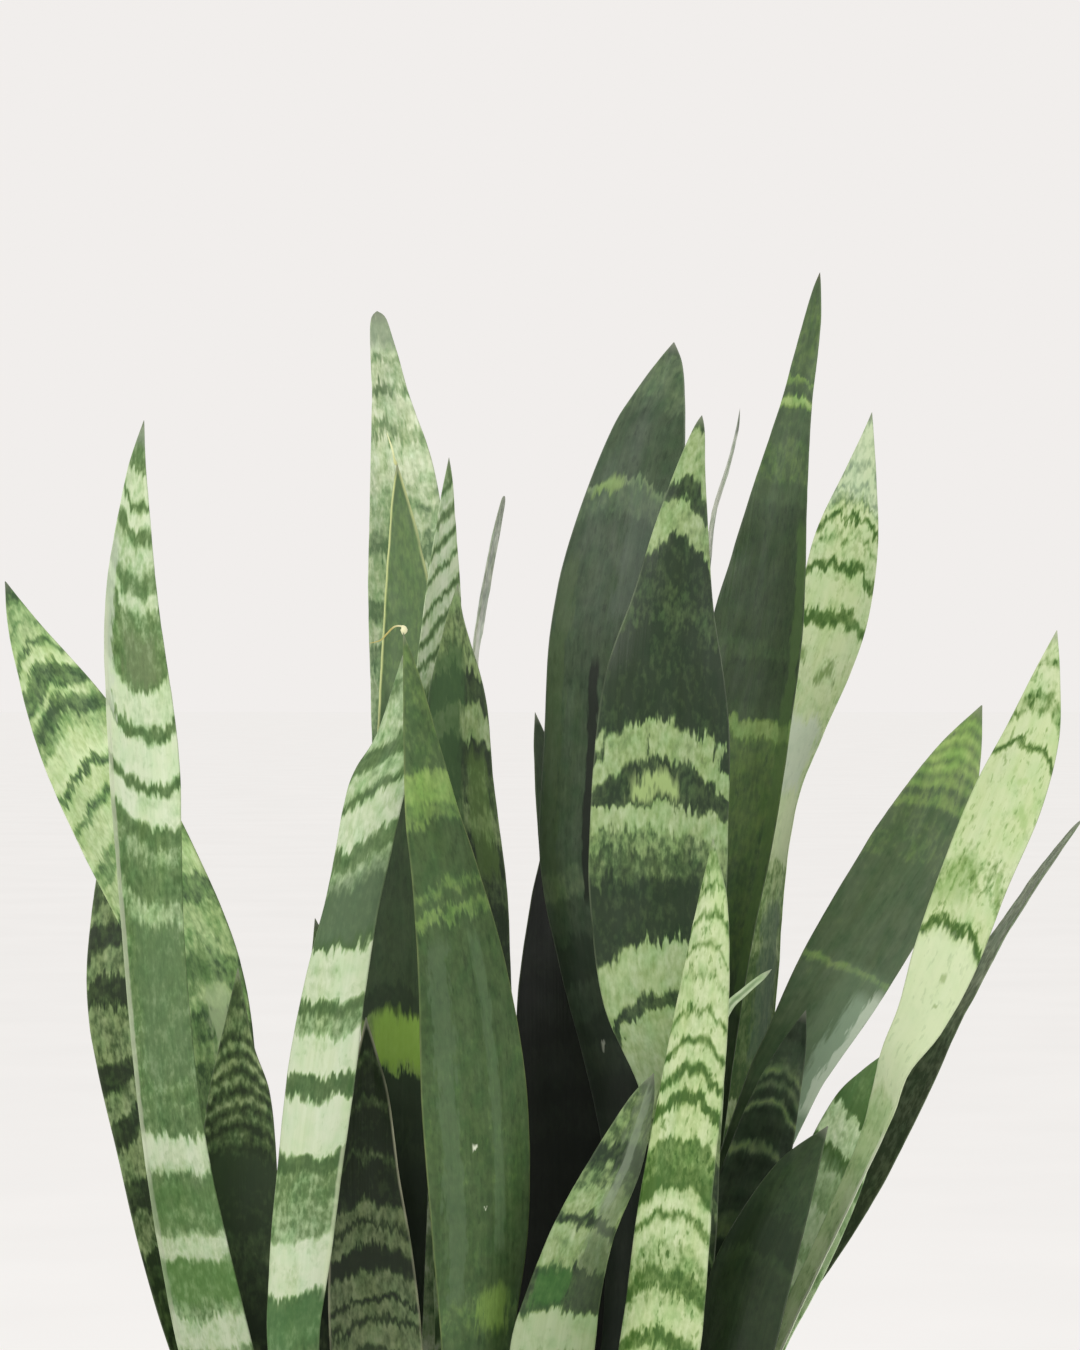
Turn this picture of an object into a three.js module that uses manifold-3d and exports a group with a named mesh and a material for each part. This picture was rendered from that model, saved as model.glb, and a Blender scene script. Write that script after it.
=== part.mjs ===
// A potted black coral snake plant: stiff, upright, cross-banded leaves that stand in a filled pot.
// Millimetres, +Z up, +X to the viewer's right, -Y towards the viewer.
// The origin is the middle of the pot's underside.

import * as THREE from "three";
import { mergeVertices } from "three/addons/utils/BufferGeometryUtils.js";
import Module from "manifold-3d";

const wasm = await Module();
wasm.setup();

// Pot: a plain tapered stoneware pot with a collar round its mouth
const POT_HEIGHT = 230;
const POT_FOOT_RADIUS = 90;
const POT_MOUTH_RADIUS = 127;
const COLLAR_HEIGHT = 30;
const COLLAR_PROUD = 4;
const WALL = 9;
const FLOOR = 12;
const ROUNDING = 4;
const CORNER_CUT = 0.3 * ROUNDING;
const POT_SIDES = 56;

// Soil: fills the pot to below its lip, falls away at the wall and rises a little in the middle
const SOIL_TOP = 205;
const SOIL_CROWN = 4;
const SOIL_LEVEL_SHARE = 0.6;
const SOIL_SIDES = 40;

// A leaf stands this deep in its hole, with this much room round it
const ROOT_DEPTH = 28;
const FIT = 0.5;

// A leaf's cross-section: thick and deeply channelled at the foot, thin and nearly flat above THICK_REACH
const FOOT_THICKNESS = 8;
const BLADE_THICKNESS = 3.2;
const FOOT_MARGIN = 2.4;
const BLADE_MARGIN = 1.2;
const FOOT_HOLLOW = 0.24;
const BLADE_HOLLOW = 0.09;
const THICK_REACH = 260;
const SLIM_WIDTH = 20;
const SLIMMEST = 0.4;

// Where the leaf lies across its foot-to-blade stretch, and how its margins wave along the blade
const SHOULDER = 0.5;
const SHOULDER_LEAN = 0.43;
const ROOT_TAPER = 0.9;
const WAVE_HEIGHT = 0.03;
const WAVE_LENGTH = 210;

// Rings of points follow each other along a leaf this far apart, each with these shares across it
const STATION_STEP = 52;
const ACROSS = [-1, -0.5, 0, 0.5, 1];

// How the leaves were read from a picture of the plant: a level view, square on, from this far in front
// of the pot's axis, with the picture's middle at this place, and with this scale at the axis
const VIEW_DISTANCE = 2400;
const VIEW_X = 30;
const VIEW_Z = 707.5;
const MIDDLE_COLUMN = 540;
const MIDDLE_ROW = 675;
const MM_PER_PIXEL = 0.5;

// The leaves fan out from the pot: depths grow by these factors at the picture's lowest row and from
// FAN_ROW up, and a leaf's twist is complete from TWIST_ROW up
const LOWEST_ROW = 1350;
const FAN_ROW = 450;
const TWIST_ROW = 950;
const LOW_FAN = 1.12;
const HIGH_FAN = 2.25;

// A leaf seen on the skew is wider than it shows: by its turn, or by this factor where it is edge-on
const EDGE_ON_TURN = 72;
const EDGE_ON_FACTOR = 1.6;
const LEAST_SHOWN_SHARE = 0.3;

const LEAF_TONES = { dark: 0x3a4b33, green: 0x587247, pale: 0x9db37c };
const CLAY_COLOUR = 0xb9b1a6;
const SOIL_COLOUR = 0x33261c;

// Each leaf: its tone, the place and width of its foot in millimetres, the way the foot faces, how far
// its blade twists above the foot, and the side that is hollow, 1 for the front and -1 for the back.
// Then come readings up its middle line: the picture's column and row in pixels, how far it stands
// behind the pot's axis where the leaves are close together, the width it shows in pixels, and the way
// it faces. A turn of 0 faces the viewer and a positive one faces further to the right. The last
// reading shows no width and is the tip.
const LEAVES = [
  {
    name: "leaf_left_tall",
    tone: "pale",
    foot: [-88, -38],
    footWidth: 24,
    footTurn: 40,
    twist: 14,
    hollowSide: 1,
    readings: [
      { column: 215, row: 1350, depth: -48, shown: 70, turn: 20 },
      { column: 174, row: 1150, depth: -58, shown: 62, turn: 18 },
      { column: 152, row: 940, depth: -64, shown: 58, turn: 16 },
      { column: 141, row: 750, depth: -70, shown: 69, turn: 16 },
      { column: 130, row: 600, depth: -74, shown: 50, turn: 20 },
      { column: 135, row: 480, depth: -78, shown: 20, turn: 24 },
      { column: 144, row: 420, depth: -80, shown: 0, turn: 28 },
    ],
  },
  {
    name: "leaf_far_left",
    tone: "green",
    foot: [-86, -2],
    footWidth: 26,
    footTurn: 45,
    twist: 20,
    hollowSide: 1,
    readings: [
      { column: 240, row: 1350, depth: -8, shown: 58, turn: 25 },
      { column: 226, row: 1200, depth: -10, shown: 76, turn: 18 },
      { column: 198, row: 999, depth: -12, shown: 88, turn: 12 },
      { column: 170, row: 921, depth: -13, shown: 94, turn: 10 },
      { column: 118, row: 813, depth: -14, shown: 96, turn: 10 },
      { column: 71, row: 723, depth: -16, shown: 76, turn: 12 },
      { column: 24, row: 632, depth: -20, shown: 30, turn: 16 },
      { column: 5, row: 581, depth: -24, shown: 0, turn: 20 },
    ],
  },
  {
    name: "leaf_left_low",
    tone: "green",
    foot: [-84, 26],
    footWidth: 24,
    footTurn: 50,
    twist: -28,
    hollowSide: 1,
    readings: [
      { column: 210, row: 1350, depth: 24, shown: 76, turn: 20 },
      { column: 164, row: 1160, depth: 24, shown: 88, turn: 10 },
      { column: 135, row: 1010, depth: 24, shown: 90, turn: 6 },
      { column: 136, row: 890, depth: 26, shown: 82, turn: 4 },
      { column: 138, row: 800, depth: 27, shown: 44, turn: 2 },
      { column: 140, row: 745, depth: 28, shown: 0, turn: 0 },
    ],
  },
  {
    name: "leaf_left_small",
    tone: "dark",
    foot: [-72, -22],
    footWidth: 20,
    footTurn: 20,
    twist: -34,
    hollowSide: 1,
    readings: [
      { column: 250, row: 1350, depth: -28, shown: 64, turn: 14 },
      { column: 240, row: 1160, depth: -34, shown: 76, turn: 10 },
      { column: 241, row: 1090, depth: -36, shown: 62, turn: 8 },
      { column: 238, row: 1040, depth: -38, shown: 33, turn: 6 },
      { column: 238, row: 968, depth: -40, shown: 0, turn: 4 },
    ],
  },
  {
    name: "leaf_banded_left",
    tone: "pale",
    foot: [-60, -62],
    footWidth: 24,
    footTurn: -20,
    twist: -14,
    hollowSide: -1,
    readings: [
      { column: 292, row: 1350, depth: -72, shown: 52, turn: -18 },
      { column: 300, row: 1240, depth: -76, shown: 63, turn: -14 },
      { column: 320, row: 1075, depth: -82, shown: 70, turn: -10 },
      { column: 334, row: 985, depth: -82, shown: 62, turn: -12 },
      { column: 351, row: 900, depth: -80, shown: 53, turn: -18 },
      { column: 374, row: 790, depth: -74, shown: 57, turn: -14 },
      { column: 394, row: 735, depth: -68, shown: 38, turn: -10 },
      { column: 403, row: 655, depth: -62, shown: 0, turn: -6 },
    ],
  },
  {
    name: "leaf_tip_behind",
    tone: "green",
    foot: [-56, -32],
    footWidth: 16,
    footTurn: 10,
    twist: 30,
    hollowSide: 1,
    readings: [
      { column: 313, row: 1350, depth: -34, shown: 60, turn: 6 },
      { column: 322, row: 1190, depth: -38, shown: 54, turn: 0 },
      { column: 318, row: 1080, depth: -40, shown: 42, turn: 0 },
      { column: 322, row: 1000, depth: -40, shown: 34, turn: 0 },
      { column: 321, row: 955, depth: -41, shown: 20, turn: 0 },
      { column: 315, row: 918, depth: -42, shown: 0, turn: 0 },
    ],
  },
  {
    name: "leaf_small_chevron",
    tone: "green",
    foot: [-38, -46],
    footWidth: 24,
    footTurn: 8,
    twist: 16,
    hollowSide: 1,
    readings: [
      { column: 376, row: 1350, depth: -52, shown: 92, turn: 8 },
      { column: 370, row: 1260, depth: -54, shown: 84, turn: 8 },
      { column: 367, row: 1180, depth: -55, shown: 64, turn: 6 },
      { column: 368, row: 1100, depth: -56, shown: 42, turn: 4 },
      { column: 367, row: 1055, depth: -56, shown: 21, turn: 2 },
      { column: 366, row: 1017, depth: -56, shown: 0, turn: 0 },
    ],
  },
  {
    name: "leaf_plain_left_back",
    tone: "dark",
    foot: [-44, -6],
    footWidth: 22,
    footTurn: 0,
    twist: -34,
    hollowSide: 1,
    readings: [
      { column: 392, row: 1350, depth: -8, shown: 60, turn: 0 },
      { column: 396, row: 1100, depth: -8, shown: 72, turn: 0 },
      { column: 400, row: 900, depth: -8, shown: 58, turn: 0 },
      { column: 404, row: 820, depth: -7, shown: 34, turn: 0 },
      { column: 408, row: 760, depth: -6, shown: 0, turn: 0 },
    ],
  },
  {
    name: "leaf_tall_blunt",
    tone: "pale",
    foot: [-36, 18],
    footWidth: 24,
    footTurn: 10,
    twist: 22,
    hollowSide: 1,
    readings: [
      { column: 403, row: 1350, depth: 22, shown: 70, turn: 10 },
      { column: 404, row: 1150, depth: 26, shown: 70, turn: 8 },
      { column: 406, row: 735, depth: 34, shown: 72, turn: 8 },
      { column: 406, row: 600, depth: 38, shown: 77, turn: 8 },
      { column: 401, row: 480, depth: 42, shown: 66, turn: 8 },
      { column: 390, row: 400, depth: 46, shown: 39, turn: 8 },
      { column: 381, row: 340, depth: 48, shown: 23, turn: 8 },
      { column: 378, row: 318, depth: 49, shown: 14, turn: 8 },
      { column: 377, row: 311, depth: 49, shown: 0, turn: 8 },
    ],
  },
  {
    name: "leaf_tall_dark_inner",
    tone: "dark",
    foot: [-14, 8],
    footWidth: 20,
    footTurn: -10,
    twist: -26,
    hollowSide: 1,
    readings: [
      { column: 400, row: 1350, depth: 8, shown: 44, turn: -6 },
      { column: 396, row: 1000, depth: 8, shown: 50, turn: -6 },
      { column: 403, row: 760, depth: 10, shown: 52, turn: -6 },
      { column: 409, row: 610, depth: 12, shown: 46, turn: -6 },
      { column: 405, row: 545, depth: 13, shown: 32, turn: -6 },
      { column: 400, row: 497, depth: 14, shown: 16, turn: -6 },
      { column: 397, row: 463, depth: 14, shown: 0, turn: -6 },
    ],
  },
  {
    name: "leaf_slim_banded",
    tone: "pale",
    foot: [-22, -14],
    footWidth: 20,
    footTurn: 20,
    twist: 16,
    hollowSide: 1,
    readings: [
      { column: 452, row: 1350, depth: -18, shown: 38, turn: 24 },
      { column: 447, row: 1000, depth: -24, shown: 46, turn: 26 },
      { column: 437, row: 700, depth: -26, shown: 48, turn: 28 },
      { column: 441, row: 590, depth: -25, shown: 33, turn: 30 },
      { column: 445, row: 520, depth: -24, shown: 19, turn: 32 },
      { column: 448, row: 480, depth: -23, shown: 8, turn: 32 },
      { column: 449, row: 457, depth: -22, shown: 0, turn: 32 },
    ],
  },
  {
    name: "leaf_folded",
    tone: "green",
    foot: [4, -28],
    footWidth: 24,
    footTurn: -12,
    twist: -16,
    hollowSide: 1,
    readings: [
      { column: 484, row: 1350, depth: -36, shown: 56, turn: -14 },
      { column: 479, row: 1100, depth: -46, shown: 74, turn: -16 },
      { column: 470, row: 880, depth: -50, shown: 77, turn: -18 },
      { column: 461, row: 780, depth: -50, shown: 73, turn: -20 },
      { column: 460, row: 700, depth: -48, shown: 60, turn: -20 },
      { column: 456, row: 620, depth: -46, shown: 18, turn: -20 },
      { column: 458, row: 583, depth: -45, shown: 0, turn: -20 },
    ],
  },
  {
    name: "leaf_front_dark",
    tone: "dark",
    foot: [-4, -58],
    footWidth: 26,
    footTurn: 10,
    twist: 6,
    hollowSide: -1,
    readings: [
      { column: 478, row: 1350, depth: -74, shown: 72, turn: 12 },
      { column: 482, row: 1230, depth: -80, shown: 98, turn: 12 },
      { column: 476, row: 1100, depth: -86, shown: 105, turn: 10 },
      { column: 464, row: 980, depth: -90, shown: 90, turn: 10 },
      { column: 447, row: 880, depth: -94, shown: 69, turn: 10 },
      { column: 433, row: 815, depth: -96, shown: 54, turn: 10 },
      { column: 421, row: 740, depth: -98, shown: 34, turn: 12 },
      { column: 412, row: 680, depth: -100, shown: 17, turn: 14 },
      { column: 403, row: 632, depth: -100, shown: 0, turn: 16 },
    ],
  },
  {
    name: "leaf_thin_edge_on",
    tone: "dark",
    foot: [0, 30],
    footWidth: 14,
    footTurn: 60,
    twist: 0,
    hollowSide: 1,
    readings: [
      { column: 468, row: 1350, depth: 32, shown: 8, turn: 66 },
      { column: 462, row: 1050, depth: 36, shown: 9, turn: 72 },
      { column: 466, row: 800, depth: 42, shown: 9, turn: 76 },
      { column: 475, row: 658, depth: 46, shown: 9, turn: 78 },
      { column: 480, row: 620, depth: 48, shown: 9, turn: 78 },
      { column: 491, row: 556, depth: 52, shown: 7, turn: 78 },
      { column: 502, row: 505, depth: 56, shown: 4, turn: 78 },
      { column: 505, row: 496, depth: 57, shown: 0, turn: 78 },
    ],
  },
  {
    name: "leaf_centre_dark",
    tone: "dark",
    foot: [47, -23],
    footWidth: 26,
    footTurn: -24,
    twist: -10,
    hollowSide: -1,
    readings: [
      { column: 628, row: 1350, depth: -34, shown: 56, turn: -18 },
      { column: 632, row: 1150, depth: -40, shown: 64, turn: -14 },
      { column: 607, row: 960, depth: -46, shown: 100, turn: -10 },
      { column: 596, row: 860, depth: -46, shown: 117, turn: -8 },
      { column: 601, row: 740, depth: -44, shown: 121, turn: -8 },
      { column: 606, row: 640, depth: -42, shown: 118, turn: -8 },
      { column: 622, row: 550, depth: -38, shown: 110, turn: -10 },
      { column: 645, row: 440, depth: -32, shown: 76, turn: -12 },
      { column: 661, row: 388, depth: -28, shown: 46, turn: -12 },
      { column: 670, row: 360, depth: -26, shown: 23, turn: -12 },
      { column: 674, row: 342, depth: -25, shown: 0, turn: -12 },
    ],
  },
  {
    name: "leaf_shadow_gap",
    tone: "dark",
    foot: [22, -8],
    footWidth: 24,
    footTurn: 0,
    twist: 18,
    hollowSide: 1,
    readings: [
      { column: 559, row: 1350, depth: -4, shown: 98, turn: 0 },
      { column: 566, row: 1200, depth: -6, shown: 98, turn: 0 },
      { column: 563, row: 1000, depth: -8, shown: 96, turn: 0 },
      { column: 562, row: 910, depth: -7, shown: 70, turn: 0 },
      { column: 560, row: 865, depth: -6, shown: 46, turn: 0 },
      { column: 556, row: 800, depth: -5, shown: 0, turn: 0 },
    ],
  },
  {
    name: "leaf_centre_sliver",
    tone: "dark",
    foot: [28, 14],
    footWidth: 18,
    footTurn: 0,
    twist: 30,
    hollowSide: 1,
    readings: [
      { column: 560, row: 1350, depth: 16, shown: 40, turn: 0 },
      { column: 562, row: 1050, depth: 18, shown: 44, turn: 0 },
      { column: 556, row: 860, depth: 18, shown: 36, turn: 0 },
      { column: 548, row: 790, depth: 18, shown: 27, turn: 0 },
      { column: 541, row: 745, depth: 18, shown: 15, turn: 0 },
      { column: 535, row: 712, depth: 18, shown: 0, turn: 0 },
    ],
  },
  {
    name: "leaf_centre_banded",
    tone: "green",
    foot: [50, -45],
    footWidth: 26,
    footTurn: -22,
    twist: 10,
    hollowSide: -1,
    readings: [
      { column: 676, row: 1350, depth: -46, shown: 54, turn: -16 },
      { column: 684, row: 1150, depth: -58, shown: 72, turn: -10 },
      { column: 682, row: 1085, depth: -64, shown: 86, turn: -8 },
      { column: 663, row: 1000, depth: -72, shown: 118, turn: -6 },
      { column: 659, row: 900, depth: -74, shown: 137, turn: -5 },
      { column: 660, row: 830, depth: -74, shown: 139, turn: -4 },
      { column: 664, row: 740, depth: -72, shown: 136, turn: -4 },
      { column: 667, row: 670, depth: -70, shown: 118, turn: -4 },
      { column: 674, row: 600, depth: -64, shown: 82, turn: -4 },
      { column: 682, row: 530, depth: -58, shown: 55, turn: -5 },
      { column: 691, row: 470, depth: -52, shown: 30, turn: -6 },
      { column: 699, row: 430, depth: -47, shown: 12, turn: -6 },
      { column: 702, row: 415, depth: -46, shown: 0, turn: -6 },
    ],
  },
  {
    name: "leaf_thin_curved",
    tone: "dark",
    foot: [42, 32],
    footWidth: 14,
    footTurn: -60,
    twist: 0,
    hollowSide: 1,
    readings: [
      { column: 668, row: 1350, depth: 36, shown: 8, turn: -70 },
      { column: 692, row: 1050, depth: 40, shown: 8, turn: -76 },
      { column: 702, row: 750, depth: 44, shown: 8, turn: -78 },
      { column: 706, row: 590, depth: 48, shown: 7, turn: -78 },
      { column: 714, row: 515, depth: 52, shown: 6, turn: -78 },
      { column: 727, row: 470, depth: 55, shown: 5, turn: -78 },
      { column: 737, row: 430, depth: 57, shown: 3, turn: -78 },
      { column: 740, row: 408, depth: 58, shown: 0, turn: -78 },
    ],
  },
  {
    name: "leaf_front_pale",
    tone: "pale",
    foot: [50, -80],
    footWidth: 26,
    footTurn: -26,
    twist: -12,
    hollowSide: -1,
    readings: [
      { column: 657, row: 1350, depth: -88, shown: 81, turn: -22 },
      { column: 671, row: 1235, depth: -94, shown: 75, turn: -20 },
      { column: 677, row: 1180, depth: -96, shown: 68, turn: -20 },
      { column: 688, row: 1100, depth: -99, shown: 62, turn: -20 },
      { column: 699, row: 1020, depth: -102, shown: 54, turn: -20 },
      { column: 708, row: 945, depth: -105, shown: 41, turn: -20 },
      { column: 713, row: 890, depth: -107, shown: 25, turn: -20 },
      { column: 713, row: 838, depth: -108, shown: 0, turn: -20 },
    ],
  },
  {
    name: "leaf_tallest",
    tone: "dark",
    foot: [52, 9],
    footWidth: 26,
    footTurn: -20,
    twist: -14,
    hollowSide: 1,
    readings: [
      { column: 668, row: 1350, depth: 18, shown: 58, turn: -18 },
      { column: 684, row: 1150, depth: 18, shown: 76, turn: -16 },
      { column: 708, row: 950, depth: 14, shown: 90, turn: -15 },
      { column: 728, row: 830, depth: 16, shown: 94, turn: -15 },
      { column: 744, row: 720, depth: 18, shown: 96, turn: -15 },
      { column: 759, row: 630, depth: 20, shown: 92, turn: -14 },
      { column: 771, row: 560, depth: 22, shown: 74, turn: -14 },
      { column: 780, row: 500, depth: 23, shown: 56, turn: -14 },
      { column: 797, row: 405, depth: 26, shown: 30, turn: -14 },
      { column: 811, row: 330, depth: 28, shown: 19, turn: -14 },
      { column: 817, row: 290, depth: 30, shown: 8, turn: -14 },
      { column: 820, row: 272, depth: 31, shown: 0, turn: -14 },
    ],
  },
  {
    name: "leaf_back_pale",
    tone: "pale",
    foot: [64, 38],
    footWidth: 24,
    footTurn: -40,
    twist: 0,
    hollowSide: 1,
    readings: [
      { column: 704, row: 1350, depth: 52, shown: 44, turn: -44 },
      { column: 740, row: 1120, depth: 52, shown: 50, turn: -48 },
      { column: 758, row: 980, depth: 46, shown: 46, turn: -52 },
      { column: 768, row: 880, depth: 50, shown: 40, turn: -56 },
      { column: 782, row: 800, depth: 54, shown: 34, turn: -56 },
      { column: 800, row: 735, depth: 56, shown: 44, turn: -36 },
      { column: 818, row: 665, depth: 58, shown: 68, turn: -10 },
      { column: 833, row: 610, depth: 60, shown: 72, turn: 2 },
      { column: 846, row: 540, depth: 61, shown: 64, turn: 6 },
      { column: 860, row: 475, depth: 62, shown: 33, turn: 8 },
      { column: 868, row: 435, depth: 63, shown: 12, turn: 8 },
      { column: 872, row: 412, depth: 64, shown: 0, turn: 8 },
    ],
  },
  {
    name: "leaf_small_pale_tip",
    tone: "pale",
    foot: [28, -54],
    footWidth: 12,
    footTurn: 0,
    twist: 0,
    hollowSide: 1,
    readings: [
      { column: 652, row: 1350, depth: -66, shown: 16, turn: 0 },
      { column: 690, row: 1150, depth: -80, shown: 16, turn: 0 },
      { column: 706, row: 1060, depth: -84, shown: 14, turn: 0 },
      { column: 726, row: 1011, depth: -82, shown: 10, turn: 0 },
      { column: 744, row: 992, depth: -79, shown: 8, turn: 0 },
      { column: 762, row: 977, depth: -76, shown: 6, turn: 0 },
      { column: 772, row: 969, depth: -75, shown: 0, turn: 0 },
    ],
  },
  {
    name: "leaf_right_dark",
    tone: "dark",
    foot: [78, -8],
    footWidth: 24,
    footTurn: -30,
    twist: 26,
    hollowSide: -1,
    readings: [
      { column: 704, row: 1350, depth: -12, shown: 50, turn: -20 },
      { column: 730, row: 1220, depth: -12, shown: 58, turn: -14 },
      { column: 780, row: 1092, depth: -14, shown: 72, turn: -8 },
      { column: 803, row: 1048, depth: -15, shown: 78, turn: -6 },
      { column: 845, row: 975, depth: -16, shown: 95, turn: -4 },
      { column: 905, row: 877, depth: -18, shown: 98, turn: 0 },
      { column: 935, row: 821, depth: -18, shown: 85, turn: 2 },
      { column: 961, row: 755, depth: -18, shown: 46, turn: 4 },
      { column: 982, row: 705, depth: -18, shown: 0, turn: 4 },
    ],
  },
  {
    name: "leaf_right_pale",
    tone: "pale",
    foot: [93, -22],
    footWidth: 18,
    footTurn: -50,
    twist: 0,
    hollowSide: 1,
    readings: [
      { column: 777, row: 1345, depth: -34, shown: 12, turn: -64 },
      { column: 837, row: 1217, depth: -46, shown: 12, turn: -66 },
      { column: 871, row: 1142, depth: -56, shown: 14, turn: -66 },
      { column: 884, row: 1106, depth: -62, shown: 19, turn: -64 },
      { column: 897, row: 1061, depth: -68, shown: 27, turn: -54 },
      { column: 921, row: 1019, depth: -71, shown: 45, turn: -36 },
      { column: 946, row: 958, depth: -73, shown: 64, turn: -22 },
      { column: 976, row: 876, depth: -74, shown: 68, turn: -14 },
      { column: 1008, row: 799, depth: -74, shown: 70, turn: -10 },
      { column: 1033, row: 733, depth: -74, shown: 54, turn: -6 },
      { column: 1047, row: 675, depth: -73, shown: 27, turn: -4 },
      { column: 1057, row: 630, depth: -72, shown: 0, turn: -4 },
    ],
  },
  {
    name: "leaf_right_long_thin",
    tone: "dark",
    foot: [90, 24],
    footWidth: 18,
    footTurn: -50,
    twist: 0,
    hollowSide: 1,
    readings: [
      { column: 742, row: 1345, depth: 22, shown: 38, turn: -40 },
      { column: 803, row: 1268, depth: 20, shown: 40, turn: -40 },
      { column: 862, row: 1178, depth: 18, shown: 40, turn: -40 },
      { column: 916, row: 1078, depth: 18, shown: 36, turn: -46 },
      { column: 944, row: 1024, depth: 19, shown: 28, turn: -54 },
      { column: 972, row: 983, depth: 20, shown: 17, turn: -66 },
      { column: 1003, row: 932, depth: 23, shown: 11, turn: -74 },
      { column: 1040, row: 875, depth: 27, shown: 9, turn: -76 },
      { column: 1074, row: 829, depth: 30, shown: 5, turn: -76 },
      { column: 1084, row: 818, depth: 31, shown: 0, turn: -76 },
    ],
  },
  {
    name: "leaf_right_low_dark",
    tone: "dark",
    foot: [75, -58],
    footWidth: 26,
    footTurn: 0,
    twist: -14,
    hollowSide: -1,
    readings: [
      { column: 732, row: 1350, depth: -66, shown: 78, turn: -18 },
      { column: 748, row: 1285, depth: -68, shown: 80, turn: -16 },
      { column: 770, row: 1228, depth: -68, shown: 66, turn: -14 },
      { column: 798, row: 1170, depth: -66, shown: 40, turn: -12 },
      { column: 828, row: 1126, depth: -64, shown: 0, turn: -10 },
    ],
  },
  {
    name: "leaf_right_low_banded",
    tone: "pale",
    foot: [94, 2],
    footWidth: 18,
    footTurn: -40,
    twist: -8,
    hollowSide: 1,
    readings: [
      { column: 764, row: 1345, depth: -10, shown: 42, turn: -30 },
      { column: 796, row: 1275, depth: -16, shown: 50, turn: -28 },
      { column: 819, row: 1218, depth: -21, shown: 56, turn: -26 },
      { column: 838, row: 1162, depth: -25, shown: 60, turn: -24 },
      { column: 858, row: 1108, depth: -29, shown: 46, turn: -22 },
      { column: 873, row: 1076, depth: -31, shown: 22, turn: -20 },
      { column: 887, row: 1052, depth: -32, shown: 0, turn: -20 },
    ],
  },
  {
    name: "leaf_right_inner_banded",
    tone: "green",
    foot: [78, -30],
    footWidth: 22,
    footTurn: -30,
    twist: -24,
    hollowSide: 1,
    readings: [
      { column: 716, row: 1350, depth: -34, shown: 56, turn: -16 },
      { column: 740, row: 1225, depth: -38, shown: 64, turn: -12 },
      { column: 762, row: 1150, depth: -39, shown: 60, turn: -10 },
      { column: 780, row: 1090, depth: -40, shown: 44, turn: -8 },
      { column: 795, row: 1045, depth: -40, shown: 24, turn: -6 },
      { column: 806, row: 1010, depth: -40, shown: 0, turn: -4 },
    ],
  },
  {
    name: "leaf_front_leaning",
    tone: "green",
    foot: [22, -84],
    footWidth: 26,
    footTurn: 16,
    twist: 20,
    hollowSide: -1,
    readings: [
      { column: 554, row: 1350, depth: -90, shown: 86, turn: 14 },
      { column: 563, row: 1305, depth: -92, shown: 77, turn: 12 },
      { column: 585, row: 1233, depth: -92, shown: 62, turn: 12 },
      { column: 618, row: 1163, depth: -90, shown: 50, turn: 10 },
      { column: 642, row: 1102, depth: -86, shown: 25, turn: 8 },
      { column: 654, row: 1073, depth: -84, shown: 0, turn: 6 },
    ],
  },
];

// Leaf blades

// How far up the stretch from the picture's lowest row to another row a reading lies, from 0 to 1
function climbed(row, topRow) {
  return THREE.MathUtils.clamp((LOWEST_ROW - row) / (LOWEST_ROW - topRow), 0, 1);
}

// The blade's real width from the width that it shows
function trueWidth(shown, turn, mmPerPixel) {
  if (Math.abs(turn) > EDGE_ON_TURN) {
    return shown * EDGE_ON_FACTOR;
  }
  const shownShare = Math.cos(THREE.MathUtils.degToRad(turn));
  return (shown * mmPerPixel) / Math.max(shownShare, LEAST_SHOWN_SHARE);
}

// Turns one reading into a point of the leaf's middle line, as [x, y, z, width, turn].
function placed(leaf, reading) {
  const fan = THREE.MathUtils.lerp(LOW_FAN, HIGH_FAN, climbed(reading.row, FAN_ROW));
  const y = reading.depth * fan;
  const turn = reading.turn + leaf.twist * climbed(reading.row, TWIST_ROW);
  const mmPerPixel = (MM_PER_PIXEL * (VIEW_DISTANCE + y)) / VIEW_DISTANCE;
  const x = VIEW_X + (reading.column - MIDDLE_COLUMN) * mmPerPixel;
  const z = VIEW_Z - (reading.row - MIDDLE_ROW) * mmPerPixel;
  return [x, y, z, trueWidth(reading.shown, turn, mmPerPixel), turn];
}

// Returns the points of the leaf's middle line, with those of its foot below the readings.
function wholeLine(leaf) {
  const [footX, footY] = leaf.foot;
  const points = leaf.readings.map((reading) => placed(leaf, reading));
  const [x, y, z, width, turn] = points[0];
  const between = THREE.MathUtils.lerp;
  return [
    [footX, footY, SOIL_TOP - ROOT_DEPTH, leaf.footWidth * ROOT_TAPER, leaf.footTurn],
    [footX, footY, SOIL_TOP, leaf.footWidth, leaf.footTurn],
    [
      between(footX, x, SHOULDER_LEAN),
      between(footY, y, SHOULDER),
      between(SOIL_TOP, z, SHOULDER),
      between(leaf.footWidth, width, SHOULDER),
      between(leaf.footTurn, turn, SHOULDER),
    ],
    ...points,
  ];
}

// Returns one station: the middle of the blade, the directions across it and out of its front, its
// width, and how far up the leaf it is.
function stationAt(path, form, t, travelled) {
  const shape = form.getPoint(t);
  const along = path.getTangent(t);
  const turn = THREE.MathUtils.degToRad(shape.y);
  const out = new THREE.Vector3(Math.sin(turn), -Math.cos(turn), 0);
  out.addScaledVector(along, -out.dot(along)).normalize();
  const across = new THREE.Vector3().crossVectors(along, out);
  return { middle: path.getPoint(t), across, out, width: shape.x, travelled };
}

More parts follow.
